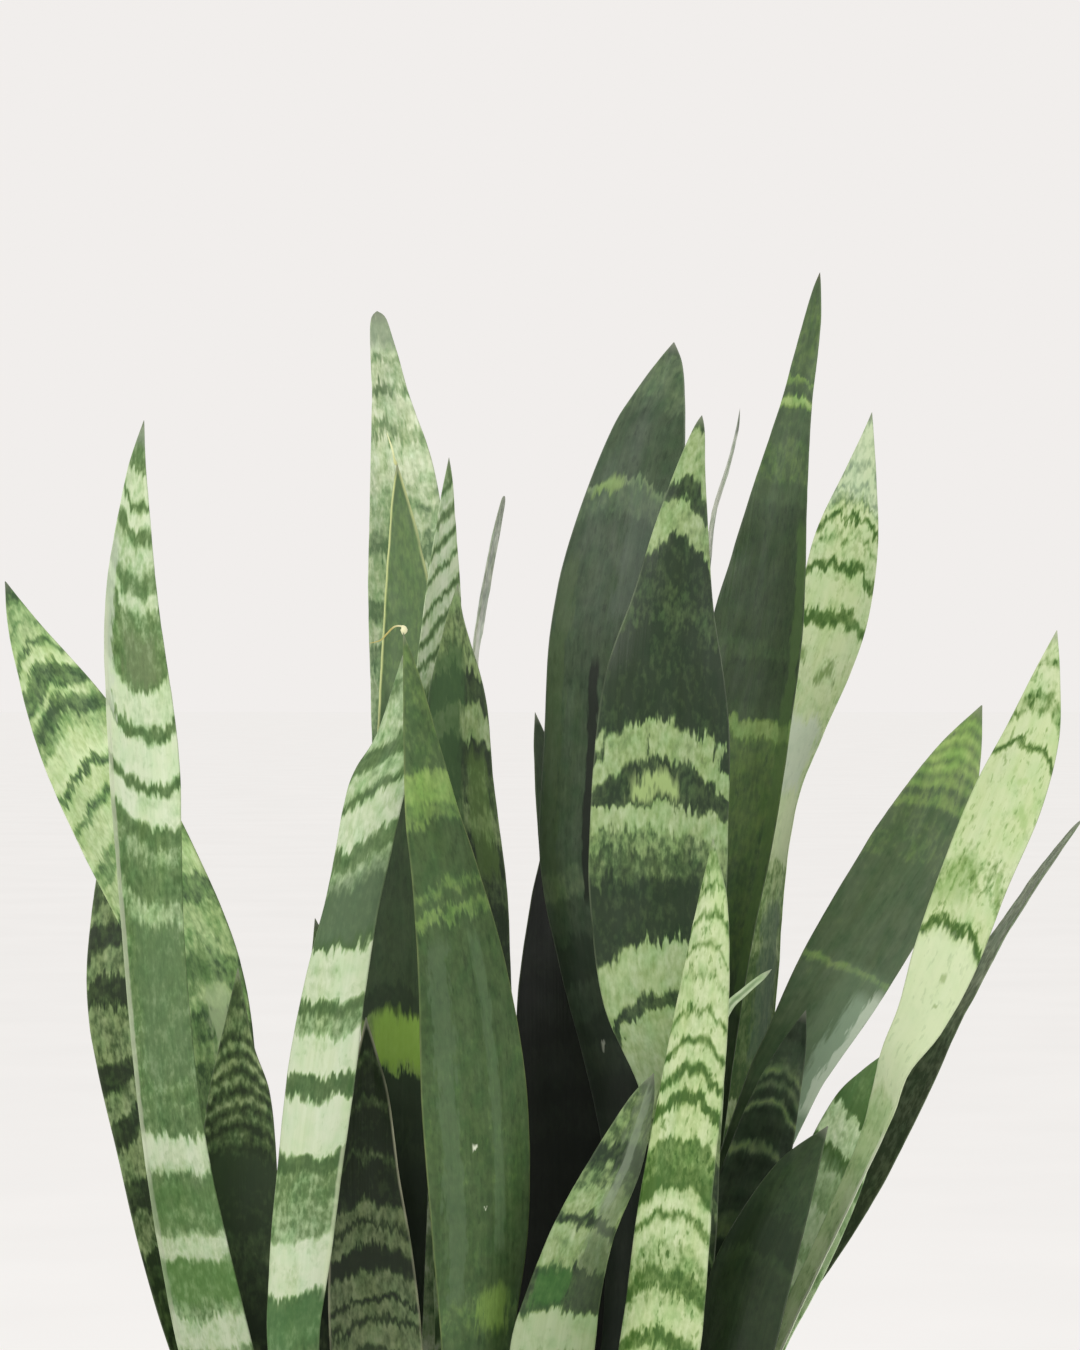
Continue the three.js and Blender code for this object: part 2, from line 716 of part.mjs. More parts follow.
// Returns the stations from the leaf's lower end up, with the point of its tip.
function followLeaf(leaf) {
  const line = wholeLine(leaf);
  const places = line.map(([x, y, z]) => new THREE.Vector3(x, y, z));
  const shapes = line.map(([, , , width, turn]) => new THREE.Vector3(width, turn, 0));
  const path = new THREE.CatmullRomCurve3(places, false, "centripetal");
  const form = new THREE.CatmullRomCurve3(shapes, false, "catmullrom", 0.3);
  const spans = line.length - 1;
  const stations = [];
  let travelled = 0;
  for (let span = 0; span < spans; span += 1) {
    const length = places[span].distanceTo(places[span + 1]);
    const steps = Math.max(1, Math.round(length / STATION_STEP));
    for (let step = 0; step < steps; step += 1) {
      const share = step / steps;
      stations.push(stationAt(path, form, (span + share) / spans, travelled + length * share));
    }
    travelled += length;
  }
  return { stations, tip: places[spans] };
}

// Returns the ring of points round the blade at one station: its front from left to right, then its
// back from right to left. The margins come forward on the hollow side and wave gently.
function sectionPoints(leaf, station, grow) {
  const { middle, across, out, width, travelled } = station;
  const blend = THREE.MathUtils.smoothstep(travelled, ROOT_DEPTH, THICK_REACH);
  const slim = THREE.MathUtils.clamp(width / SLIM_WIDTH, SLIMMEST, 1);
  const hollow = leaf.hollowSide * THREE.MathUtils.lerp(FOOT_HOLLOW, BLADE_HOLLOW, blend);
  const thickness = THREE.MathUtils.lerp(FOOT_THICKNESS, BLADE_THICKNESS, blend) * slim;
  const margin = THREE.MathUtils.lerp(FOOT_MARGIN, BLADE_MARGIN, blend) * Math.sqrt(slim);
  const phase = (2 * Math.PI * travelled) / WAVE_LENGTH + leaf.foot[0];
  const front = [];
  const back = [];
  for (const share of ACROSS) {
    const rise = share * share;
    const wave = WAVE_HEIGHT * blend * rise * Math.sin(phase + share);
    const lift = width * (hollow * (rise - 1 / 3) + wave);
    const half = THREE.MathUtils.lerp(thickness, margin, rise) / 2 + grow;
    const place = middle.clone().addScaledVector(across, share * (width / 2 + grow));
    front.push(place.clone().addScaledVector(out, lift + half));
    back.unshift(place.clone().addScaledVector(out, lift - half));
  }
  return [...front, ...back];
}

// Joins rings of points into one closed body, with its front and back split into triangles alike.
function closedBody(rings, bottom, top) {
  const points = rings.flat();
  const count = rings[0].length;
  const indices = [];
  for (let ring = 0; ring + 1 < rings.length; ring += 1) {
    for (let i = 0; i < count; i += 1) {
      const a = ring * count + i;
      const b = ring * count + ((i + 1) % count);
      const c = a + count;
      const d = b + count;
      if (i < ACROSS.length) {
        indices.push(a, b, d, a, d, c);
      } else {
        indices.push(a, b, c, b, d, c);
      }
    }
  }
  const bottomIndex = points.push(bottom) - 1;
  const topIndex = points.push(top) - 1;
  const lastRing = (rings.length - 1) * count;
  for (let i = 0; i < count; i += 1) {
    const next = (i + 1) % count;
    indices.push(bottomIndex, next, i);
    indices.push(topIndex, lastRing + i, lastRing + next);
  }
  const geometry = new THREE.BufferGeometry().setFromPoints(points);
  geometry.setIndex(indices);
  return geometry;
}

function leafGeometry(leaf) {
  const { stations, tip } = followLeaf(leaf);
  const rings = stations.map((station) => sectionPoints(leaf, station, 0));
  return closedBody(rings, stations[0].middle, tip);
}

// Returns the shape of the hole that a leaf stands in: its own lower end, a little larger and longer.
function holeGeometry(leaf) {
  const { stations } = followLeaf(leaf);
  const inSoil = stations.filter((station) => station.middle.z < SOIL_TOP + 2 * SOIL_CROWN);
  const above = stations[inSoil.length];
  const rings = [...inSoil, above].map((station) => sectionPoints(leaf, station, FIT));
  const bottom = stations[0].middle.clone();
  for (const point of [bottom, ...rings[0]]) {
    point.z -= FIT;
  }
  return closedBody(rings, bottom, above.middle);
}

// Solids for cutting

function toSolid(geometry) {
  const bare = geometry.clone();
  bare.deleteAttribute("normal");
  bare.deleteAttribute("uv");
  const merged = mergeVertices(bare);
  return new wasm.Manifold(new wasm.Mesh({
    numProp: 3,
    vertProperties: new Float32Array(merged.attributes.position.array),
    triVerts: new Uint32Array(merged.index.array),
  }));
}

function toGeometry(solid) {
  const mesh = solid.getMesh();
  const geometry = new THREE.BufferGeometry();
  geometry.setAttribute("position", new THREE.BufferAttribute(new Float32Array(mesh.vertProperties), 3));
  geometry.setIndex(Array.from(mesh.triVerts));
  return geometry;
}

// Turns an outline of [radius, height] points round the pot's upright axis.
function turned(outline, sides) {
  const points = outline.map(([radius, height]) => new THREE.Vector2(radius, height));
  return new THREE.LatheGeometry(points, sides).rotateX(Math.PI / 2);
}

// Pot

// The pot's outside and inside radius at a height, below the collar
function outsideRadius(height) {
  return THREE.MathUtils.lerp(POT_FOOT_RADIUS, POT_MOUTH_RADIUS - COLLAR_PROUD, height / POT_HEIGHT);
}

function insideRadius(height) {
  return outsideRadius(height) - WALL;
}

// The outline runs from the middle of the underside, up the outside, over the lip and down the inside.
function makePot() {
  const collar = POT_HEIGHT - COLLAR_HEIGHT;
  const outline = [
    [0, 0],
    [POT_FOOT_RADIUS - ROUNDING, 0],
    [POT_FOOT_RADIUS - CORNER_CUT, CORNER_CUT],
    [outsideRadius(ROUNDING), ROUNDING],
    [outsideRadius(collar - COLLAR_PROUD), collar - COLLAR_PROUD],
    [POT_MOUTH_RADIUS - CORNER_CUT, collar],
    [POT_MOUTH_RADIUS, collar + ROUNDING],
    [POT_MOUTH_RADIUS, POT_HEIGHT - ROUNDING],
    [POT_MOUTH_RADIUS - CORNER_CUT, POT_HEIGHT - CORNER_CUT],
    [POT_MOUTH_RADIUS - ROUNDING, POT_HEIGHT],
    [insideRadius(POT_HEIGHT) + ROUNDING, POT_HEIGHT],
    [insideRadius(POT_HEIGHT - ROUNDING), POT_HEIGHT - ROUNDING],
    [insideRadius(FLOOR), FLOOR],
    [0, FLOOR],
  ];
  const clay = new THREE.MeshStandardMaterial({ color: CLAY_COLOUR, roughness: 0.75, metalness: 0 });
  const pot = new THREE.Mesh(turned(outline, POT_SIDES), clay);
  pot.name = "pot";
  return pot;
}

// Soil

// The soil keeps clear of the pot's flat facets, which lie nearer the axis than its corners do.
function makeSoil() {
  const facet = Math.cos(Math.PI / POT_SIDES);
  const reach = (height) => insideRadius(height) * facet - FIT;
  const shoulder = SOIL_TOP - SOIL_CROWN;
  const outline = [
    [0, FLOOR + FIT],
    [reach(FLOOR), FLOOR + FIT],
    [reach(shoulder), shoulder],
    [reach(SOIL_TOP) * SOIL_LEVEL_SHARE, SOIL_TOP],
    [0, SOIL_TOP + SOIL_CROWN / 2],
  ];
  let solid = toSolid(turned(outline, SOIL_SIDES));
  for (const leaf of LEAVES) {
    solid = solid.subtract(toSolid(holeGeometry(leaf)));
  }
  const peat = new THREE.MeshStandardMaterial({ color: SOIL_COLOUR, roughness: 0.95, metalness: 0 });
  const soil = new THREE.Mesh(toGeometry(solid), peat);
  soil.name = "soil";
  return soil;
}

// Leaves

function makeLeaf(leaf) {
  const colour = LEAF_TONES[leaf.tone];
  const skin = new THREE.MeshStandardMaterial({ color: colour, roughness: 0.5, metalness: 0 });
  const mesh = new THREE.Mesh(leafGeometry(leaf), skin);
  mesh.name = leaf.name;
  return mesh;
}

const plant = new THREE.Group();
plant.add(makePot());
plant.add(makeSoil());
for (const leaf of LEAVES) {
  plant.add(makeLeaf(leaf));
}

export default plant;
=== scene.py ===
import functools
import math
import random

import bmesh
import bpy
import numpy as np
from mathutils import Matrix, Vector, noise


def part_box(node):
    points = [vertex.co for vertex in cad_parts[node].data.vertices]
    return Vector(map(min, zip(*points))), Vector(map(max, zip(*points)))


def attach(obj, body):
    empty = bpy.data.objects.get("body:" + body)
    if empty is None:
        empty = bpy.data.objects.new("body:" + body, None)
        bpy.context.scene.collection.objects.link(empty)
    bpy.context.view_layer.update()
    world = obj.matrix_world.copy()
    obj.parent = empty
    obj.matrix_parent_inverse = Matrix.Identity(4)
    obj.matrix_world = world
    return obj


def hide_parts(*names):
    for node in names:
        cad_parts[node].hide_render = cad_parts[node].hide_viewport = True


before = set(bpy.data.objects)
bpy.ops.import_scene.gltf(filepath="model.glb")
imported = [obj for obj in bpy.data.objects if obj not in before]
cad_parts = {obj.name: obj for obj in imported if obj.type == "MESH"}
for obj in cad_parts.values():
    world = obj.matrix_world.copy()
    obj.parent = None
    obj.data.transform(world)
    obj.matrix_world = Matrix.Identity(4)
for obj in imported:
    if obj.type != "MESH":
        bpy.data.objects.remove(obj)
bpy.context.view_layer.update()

# Pot
# A wheel-thrown stoneware pot with a plain collar. The wheel leaves faint rings in its wall, iron
# specks show through the matt grey glaze, and the foot is left bare where it stood in the kiln.
POT_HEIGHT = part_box("pot")[1].z
MOUTH_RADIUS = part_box("pot")[1].x
FOOT_RADIUS = 0.090
COLLAR_HEIGHT = 0.030
COLLAR_PROUD = 0.004
POT_WALL = 0.009
POT_FLOOR = 0.012
EDGE_ROUNDING = 0.0035
EDGE_STEPS = 4
MOST_OF_A_SIDE = 0.45
BARE_FOOT_HEIGHT = 0.007
OUTLINE_SPACING = 0.0028
POT_SIDES = 144

# The rings: how far apart and deep they are, how they climb like a screw, and how unevenly
WHEEL_RING_PITCH = 2.7 * OUTLINE_SPACING
WHEEL_RING_DEPTH = 0.00022
WHEEL_RING_SLOPE = 0.0006
WHEEL_RING_WANDER = 0.8
WANDERS_PER_METRE = 40

# The glaze: its clouds and grain, its specks, and the ragged edge where the bare foot starts
GLAZE_CLOUDS = (0.05, 0.05, 0.03)
GLAZE_GRAIN = (0.0012, 0.0012, 0.0012)
SPECK_CELLS_PER_METRE = 260.0
SPECKLESS_SHARE = 0.72
LARGEST_SPECK = 0.34
SPECK_STRENGTH = 0.75
FOOT_EDGE_RAGGED = 0.002
FOOT_EDGE_SOFT = 0.0012
GLAZE_ROUGHNESS = 0.48
CLAY_ROUGHNESS = 0.9
GLAZE_RELIEF = 0.0003
GLAZE_RELIEF_STRENGTH = 0.35


def outside_radius(height):
    """The radius of the pot's wall below the collar."""
    return FOOT_RADIUS + (MOUTH_RADIUS - COLLAR_PROUD - FOOT_RADIUS) * height / POT_HEIGHT


def inside_radius(height):
    return outside_radius(height) - POT_WALL


def eased_side(corner, end, radius):
    """Returns where a corner's arc meets the side that runs from the corner to the end."""
    side = end - corner
    return corner + side.normalized() * min(radius, side.length * MOST_OF_A_SIDE)


def rounded(outline, radius):
    """Returns the outline with each inner corner eased into an arc."""
    points = [Vector(p) for p in outline]
    eased = [points[0]]
    for before, corner, after in zip(points, points[1:], points[2:]):
        start, end = eased_side(corner, before, radius), eased_side(corner, after, radius)
        for step in range(EDGE_STEPS + 1):
            t = step / EDGE_STEPS
            eased.append(start.lerp(corner, t).lerp(corner.lerp(end, t), t))
    return [*eased, points[-1]]


def divided(outline, spacing):
    """Returns the outline with points no further apart than the spacing."""
    dense = [outline[0]]
    for a, b in zip(outline, outline[1:]):
        count = max(1, math.ceil((b - a).length / spacing))
        dense.extend(a.lerp(b, (i + 1) / count) for i in range(count))
    return dense


def turned_on_wheel(name, outline, sides):
    """Returns a closed mesh object: the outline turned round the upright axis that it starts and ends on."""
    shape = bmesh.new()
    rows = []
    for radius, height in outline[1:-1]:
        turns = [2 * math.pi * i / sides for i in range(sides)]
        rows.append([shape.verts.new((radius * math.cos(t), radius * math.sin(t), height)) for t in turns])
    first = shape.verts.new((0, 0, outline[0][1]))
    last = shape.verts.new((0, 0, outline[-1][1]))
    for i in range(sides):
        j = (i + 1) % sides
        shape.faces.new((first, rows[0][j], rows[0][i]))
        shape.faces.new((last, rows[-1][i], rows[-1][j]))
        for low, high in zip(rows, rows[1:]):
            shape.faces.new((low[i], low[j], high[j], high[i]))
    return finished_object(name, shape)


def finished_object(name, shape):
    """Turns a bmesh into a smooth object in the scene."""
    mesh = bpy.data.meshes.new(name)
    shape.to_mesh(mesh)
    shape.free()
    mesh.shade_smooth()
    made = bpy.data.objects.new(name, mesh)
    bpy.context.scene.collection.objects.link(made)
    return made


def fill(node, inputs):
    """Links or sets a node's named or numbered inputs."""
    for socket, value in inputs.items():
        if isinstance(value, bpy.types.NodeSocket):
            node.id_data.links.new(value, node.inputs[socket])
        else:
            node.inputs[socket].default_value = value


def add(tree, kind, inputs, **settings):
    """Adds a node with these settings and inputs to a tree."""
    made = tree.nodes.new(kind)
    for setting, value in settings.items():
        setattr(made, setting, value)
    fill(made, inputs)
    return made


def joined(kind, *values, **settings):
    """Adds a node that takes the values, in the tree that the first socket among them belongs to."""
    tree = next(value.id_data for value in values if isinstance(value, bpy.types.NodeSocket))
    return add(tree, kind, dict(enumerate(values)), **settings)


def maths(operation, *values):
    """Adds a Math node, and returns its result."""
    return joined("ShaderNodeMath", *values, operation=operation).outputs[0]


def total(*values):
    """Adds numbers up, some of them sockets."""
    return functools.reduce(lambda sum_so_far, value: maths("ADD", sum_so_far, value), values)


def times(*values):
    """Multiplies numbers, some of them sockets."""
    return functools.reduce(lambda product, value: maths("MULTIPLY", product, value), values)


def minus(value, taken):
    return maths("SUBTRACT", value, taken)


def vector_maths(operation, *values):
    return joined("ShaderNodeVectorMath", *values, operation=operation).outputs[0]


def combined(*parts):
    """Joins up to three numbers into a vector."""
    return joined("ShaderNodeCombineXYZ", *parts).outputs[0]


def parts_of(vector):
    """Returns a vector's three numbers."""
    return joined("ShaderNodeSeparateXYZ", vector).outputs


def grain(place, size, detail, roughness=0.5):
    """Adds noise with lumps of this size, a length for each axis, and returns its 0 to 1 value."""
    scaled = vector_maths("DIVIDE", place, size)
    inputs = {"Vector": scaled, "Scale": 1.0, "Detail": detail, "Roughness": roughness}
    return add(place.id_data, "ShaderNodeTexNoise", inputs).outputs["Fac"]


def between(value, low, high, to_low=0.0, to_high=1.0):
    """Adds a clamped Map Range node, and returns its result."""
    return joined("ShaderNodeMapRange", value, low, high, to_low, to_high).outputs[0]


def mixed(share, first, second, blend="MIX"):
    """Adds a colour mix, and returns its result."""
    tree = next(value.id_data for value in (share, first, second) if isinstance(value, bpy.types.NodeSocket))
    inputs = {0: share, 6: first, 7: second}
    return add(tree, "ShaderNodeMix", inputs, data_type="RGBA", blend_type=blend).outputs[2]


def paint(shade):
    """Turns a six-digit screen colour into the linear one that a shader takes."""
    parts = [int(shade[i : i + 2], 16) / 255 for i in (0, 2, 4)]
    return (*(((p + 0.055) / 1.055) ** 2.4 if p > 0.04045 else p / 12.92 for p in parts), 1.0)


def ramp(value, *stops):
    """Adds a colour ramp through (place, screen colour) stops, and returns its colour."""
    made = joined("ShaderNodeValToRGB", value)
    elements = made.color_ramp.elements
    while len(elements) < len(stops):
        elements.new(0.5)
    for element, (place, shade) in zip(elements, stops):
        element.position = place
        element.color = paint(shade)
    return made.outputs["Color"]


def new_material(name):
    """Returns a material and its shader."""
    made = bpy.data.materials.new(name)
    made.use_nodes = True
    return made, made.node_tree.nodes["Principled BSDF"]


def object_place(shader):
    return add(shader.id_data, "ShaderNodeTexCoord", {}).outputs["Object"]


def bump(height, depth, strength=1.0):
    """Returns a bumpy normal: the height, from 0 to 1, stands for the depth in metres."""
    inputs = {"Height": height, "Distance": depth, "Strength": strength}
    return add(height.id_data, "ShaderNodeBump", inputs).outputs["Normal"]


collar = POT_HEIGHT - COLLAR_HEIGHT
pot_outline = [
    (0, 0),
    (FOOT_RADIUS, 0),
    (outside_radius(BARE_FOOT_HEIGHT), BARE_FOOT_HEIGHT),
    (outside_radius(collar - COLLAR_PROUD), collar - COLLAR_PROUD),
    (MOUTH_RADIUS, collar),
    (MOUTH_RADIUS, POT_HEIGHT),
    (inside_radius(POT_HEIGHT), POT_HEIGHT),
    (inside_radius(POT_FLOOR), POT_FLOOR),
    (0, POT_FLOOR),
]
pot_outline = divided(rounded(pot_outline, EDGE_ROUNDING), OUTLINE_SPACING)
stoneware_pot = turned_on_wheel("stoneware_pot", pot_outline, POT_SIDES)
for vertex in stoneware_pot.data.vertices:
    turn = math.atan2(vertex.co.y, vertex.co.x)
    rings = (vertex.co.z + WHEEL_RING_SLOPE * math.sin(turn)) / WHEEL_RING_PITCH
    wander = WHEEL_RING_WANDER * noise.noise((0, 0, WANDERS_PER_METRE * vertex.co.z))
    wheel_mark = 0.5 - 0.5 * math.sin(2 * math.pi * rings + wander)
    reach = math.hypot(vertex.co.x, vertex.co.y)
    if BARE_FOOT_HEIGHT < vertex.co.z < POT_HEIGHT - EDGE_ROUNDING and reach > 0:
        vertex.co.xy *= 1 - WHEEL_RING_DEPTH * wheel_mark / reach

glaze, shader = new_material("speckled_grey_glaze")
place = object_place(shader)
clouds = grain(place, GLAZE_CLOUDS, 4)
fine = grain(place, GLAZE_GRAIN, 3)
glaze_colour = ramp(clouds, (0.3, "b9b3a8"), (0.7, "cbc6bc"))
specks = add(place.id_data, "ShaderNodeTexVoronoi", {"Vector": place, "Scale": SPECK_CELLS_PER_METRE})
chance = joined("ShaderNodeSeparateColor", specks.outputs["Color"]).outputs[0]
speck_size = between(chance, SPECKLESS_SHARE, 1, 0, LARGEST_SPECK)
speck = times(maths("LESS_THAN", specks.outputs["Distance"], speck_size), SPECK_STRENGTH)
glaze_colour = mixed(speck, glaze_colour, paint("5b4a3a"))
ragged_height = total(parts_of(place)["Z"], times(clouds, FOOT_EDGE_RAGGED))
bare = between(ragged_height, BARE_FOOT_HEIGHT, BARE_FOOT_HEIGHT + FOOT_EDGE_SOFT, 1, 0)
clay_colour = ramp(fine, (0.3, "9c8a74"), (0.7, "b3a28b"))
fill(shader, {
    "Base Color": mixed(bare, glaze_colour, clay_colour),
    "Roughness": between(total(bare, fine), 0.3, 1.6, GLAZE_ROUGHNESS, CLAY_ROUGHNESS),
    "Normal": bump(total(fine, clouds), GLAZE_RELIEF, GLAZE_RELIEF_STRENGTH),
})
stoneware_pot.data.materials.append(glaze)
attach(stoneware_pot, "root")
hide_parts("pot")

# Potting mix
# Damp peat with fine bark, filled to below the collar and heaped a little round the leaves. It meets
# the pot's wall and floor, and its crumbs leave the top uneven.
SOIL_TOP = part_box("soil")[1].z
SOIL_EDGE = 0.201
SOIL_GAP = 0.0004
CROWN_REACH = 0.6
CROWN_RISE = 0.7
TOP_SPACING = 0.0022
HEAP_HEIGHT = 0.0014
HEAP_SIZE = 0.028
CRUMB_HEIGHT = 0.0016
CRUMB_SIZE = 0.007
CRUMB_FADING = 0.7
CRUMB_SHRINKING = 2.1
CRUMB_LAYERS = 4
PEAT_GRAIN = (0.0022, 0.0022, 0.0022)
DAMP_PATCHES = (0.03, 0.03, 0.03)
DAMP_DARKENING = 0.55

soil_reach = inside_radius(SOIL_EDGE) - SOIL_GAP
crown = [
    Vector((soil_reach, SOIL_EDGE)),
    Vector((soil_reach * CROWN_REACH, SOIL_EDGE + CROWN_RISE * (SOIL_TOP - SOIL_EDGE))),
    Vector((0, SOIL_TOP)),
]
soil_outline = [
    Vector((0, POT_FLOOR + SOIL_GAP)),
    Vector((inside_radius(POT_FLOOR) - SOIL_GAP, POT_FLOOR + SOIL_GAP)),
    *divided(crown, TOP_SPACING),
]
potting_mix = turned_on_wheel("potting_mix", soil_outline, POT_SIDES)
for vertex in potting_mix.data.vertices:
    if vertex.co.z >= SOIL_EDGE - SOIL_GAP:
        crumbs = noise.fractal(vertex.co / CRUMB_SIZE, CRUMB_FADING, CRUMB_SHRINKING, CRUMB_LAYERS)
        vertex.co.z += CRUMB_HEIGHT * crumbs + HEAP_HEIGHT * noise.noise(vertex.co / HEAP_SIZE)

peat, shader = new_material("damp_peat_and_bark")
place = object_place(shader)
crumb = grain(place, PEAT_GRAIN, 5, 0.7)
damp = between(grain(place, DAMP_PATCHES, 2), 0.4, 0.65)
peat_colour = ramp(crumb, (0.3, "1c130c"), (0.5, "34251a"), (0.68, "5a4230"))
damp_colour = mixed(DAMP_DARKENING, peat_colour, paint("120c08"))
fill(shader, {
    "Base Color": mixed(damp, peat_colour, damp_colour),
    "Roughness": between(damp, 0, 1, 0.92, 0.7),
    "Normal": bump(crumb, CRUMB_HEIGHT),
})
potting_mix.data.materials.append(peat)
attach(potting_mix, "root")
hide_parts("soil")

# Bark chips and grit
# Flat flakes of pine bark and white grains of pumice lie loose on the potting mix, half sunk in it.
# They are strewn by a rule with a fixed seed, and no two come out alike.
CHIP_CORNERS = 3
CHIP_ROUNDNESS = 0.55
LEAST_BULK = (0.45, 0.45, 0.6)
MOST_BULK = (1.25, 1.0, 1.1)
HALF = (0.5, 0.5, 0.5)
LUMPS_PER_METRE = 260.0
RIM_CLEARANCE = 0.007
STEEPEST_REST = 0.3
MOST_PER_SQUARE_METRE = 60000.0


def group_inputs(tree, **names):
    """Gives a tree its geometry socket and its named inputs, kind by kind, and returns them by name."""
    tree.is_modifier = True
    tree.interface.new_socket("Geometry", in_out="INPUT", socket_type="NodeSocketGeometry")
    tree.interface.new_socket("Geometry", in_out="OUTPUT", socket_type="NodeSocketGeometry")
    for kind, group in names.items():
        for name in group:
            tree.interface.new_socket(name, in_out="INPUT", socket_type="NodeSocket" + kind)
    return tree.nodes.new("NodeGroupInput").outputs


def position(tree):
    """Reads each point's own place."""
    return add(tree, "GeometryNodeInputPosition", {}).outputs[0]


def length_of(vector):
    return joined("ShaderNodeVectorMath", vector, operation="LENGTH").outputs["Value"]


def stretched(vector, factor):
    """Multiplies a vector by a number."""
    return add(vector.id_data, "ShaderNodeVectorMath", {0: vector, 3: factor}, operation="SCALE").outputs[0]


def moved(mesh, **places):
    """Moves a mesh's points to a Position or by an Offset."""
    return add(mesh.id_data, "GeometryNodeSetPosition", {"Geometry": mesh, **places}).outputs[0]


def end_tree(geometry, material):
    """Ends a tree in Realize Instances and Set Material."""
    tree = geometry.id_data
    whole = add(tree, "GeometryNodeRealizeInstances", {0: geometry}).outputs[0]
    dressed = add(tree, "GeometryNodeSetMaterial", {"Geometry": whole, "Material": material}).outputs[0]
    add(tree, "NodeGroupOutput", {0: dressed})


def grown(name, start, tree, values):
    """Runs a tree on a mesh with the given inputs, and returns the result as a plain mesh object."""
    made = bpy.data.objects.new(name, start)
    bpy.context.scene.collection.objects.link(made)
    growth = made.modifiers.new(tree.name, "NODES")
    growth.node_group = tree
    for socket in tree.interface.items_tree:
        if socket.name in values:
            growth[socket.identifier] = values[socket.name]
    depsgraph = bpy.context.evaluated_depsgraph_get()
    mesh = bpy.data.meshes.new_from_object(made.evaluated_get(depsgraph), depsgraph=depsgraph)
    made.modifiers.remove(growth)
    made.data = mesh
    mesh.name = name
    return made


strewn = bpy.data.node_groups.new("strewn chips", "GeometryNodeTree")
given = group_inputs(
    strewn, Vector=["Chip Size"], Float=["Spacing", "Tilt", "Raggedness"], Int=["Seed"], Material=["Material"]
)
from_middle = length_of(vector_maths("MULTIPLY", position(strewn), (1, 1, 0)))
facing = parts_of(add(strewn, "GeometryNodeInputNormal", {}).outputs[0])["Z"]
inside_rim = maths("LESS_THAN", from_middle, soil_reach - RIM_CLEARANCE)
on_top = maths("GREATER_THAN", facing, STEEPEST_REST)
spot_rule = {
    "Mesh": given["Geometry"],
    "Selection": times(inside_rim, on_top),
    "Distance Min": given["Spacing"],
    "Density Max": MOST_PER_SQUARE_METRE,
    "Seed": given["Seed"],
}
spots = add(strewn, "GeometryNodeDistributePointsOnFaces", spot_rule, distribute_method="POISSON")
corners = {f"Vertices {axis}": CHIP_CORNERS for axis in "XYZ"}
block = add(strewn, "GeometryNodeMeshCube", corners).outputs["Mesh"]
corner = position(strewn)
ball = vector_maths("MULTIPLY", vector_maths("NORMALIZE", corner), HALF)
pebble = add(strewn, "ShaderNodeMix", {0: CHIP_ROUNDNESS, 4: corner, 5: ball}, data_type="VECTOR")
chip = moved(block, Position=pebble.outputs[1])


def random_vector(low, high):
    """Adds a random vector for each chip."""
    inputs = {0: low, 1: high, "Seed": given["Seed"]}
    return add(strewn, "FunctionNodeRandomValue", inputs, data_type="FLOAT_VECTOR").outputs[0]


least_tilt = vector_maths("MULTIPLY", (-1, -1, 0), combined(given["Tilt"], given["Tilt"]))
pose = random_vector(least_tilt, combined(given["Tilt"], given["Tilt"], 2 * math.pi))
bulk = random_vector(LEAST_BULK, MOST_BULK)
laying = {
    "Points": spots.outputs["Points"],
    "Instance": chip,
    "Rotation": joined("FunctionNodeEulerToRotation", pose).outputs[0],
    "Scale": vector_maths("MULTIPLY", bulk, given["Chip Size"]),
}
laid = add(strewn, "GeometryNodeInstanceOnPoints", laying).outputs[0]
loose = add(strewn, "GeometryNodeRealizeInstances", {0: laid}).outputs[0]
lumps = {"Vector": position(strewn), "Scale": LUMPS_PER_METRE, "Detail": 1.0}
lumps = vector_maths("SUBTRACT", add(strewn, "ShaderNodeTexNoise", lumps).outputs["Color"], HALF)
end_tree(moved(loose, Offset=stretched(lumps, given["Raggedness"])), given["Material"])

BARK_FIBRE = (0.0009, 0.0022, 0.0009)
BARK_PATCHES = (0.009, 0.009, 0.009)
BARK_RELIEF = 0.0006
bark, shader = new_material("pine_bark")
place = object_place(shader)
fibre = grain(place, BARK_FIBRE, 4, 0.6)
patches = grain(place, BARK_PATCHES, 1)
bark_colour = ramp(fibre, (0.32, "2c1c12"), (0.5, "57392a"), (0.7, "8a6448"))
bark_colour = mixed(between(patches, 0.35, 0.65), bark_colour, paint("3b2a20"), "MULTIPLY")
fill(shader, {
    "Base Color": mixed(0.5, bark_colour, ramp(patches, (0.4, "4a3122"), (0.6, "7d5c41"))),
    "Roughness": between(fibre, 0.3, 0.7, 0.7, 0.9),
    "Normal": bump(fibre, BARK_RELIEF),
})

PUMICE_PORES = (0.0007, 0.0007, 0.0007)
PUMICE_RELIEF = 0.0004
pumice, shader = new_material("white_pumice")
place = object_place(shader)
pores = grain(place, PUMICE_PORES, 3, 0.7)
fill(shader, {
    "Base Color": ramp(pores, (0.35, "8f8a7e"), (0.55, "d6d2c6")),
    "Roughness": between(pores, 0.3, 0.7, 0.8, 0.95),
    "Normal": bump(pores, PUMICE_RELIEF),
})

CHIPS = {
    "bark_chips": {
        "Chip Size": (0.013, 0.008, 0.0035), "Spacing": 0.0068, "Tilt": 0.35, "Raggedness": 0.0034,
        "Material": bark, "Seed": 4,
    },
    "bark_crumbs": {
        "Chip Size": (0.0055, 0.0042, 0.0028), "Spacing": 0.0040, "Tilt": 0.8, "Raggedness": 0.0018,
        "Material": bark, "Seed": 9,
    },
    "pumice_grains": {
        "Chip Size": (0.0042, 0.0038, 0.0032), "Spacing": 0.0098, "Tilt": 0.9, "Raggedness": 0.0014,
        "Material": pumice, "Seed": 21,
    },
}
for name, values in CHIPS.items():
    chips = grown(name, potting_mix.data, strewn, values)
    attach(chips, "root")

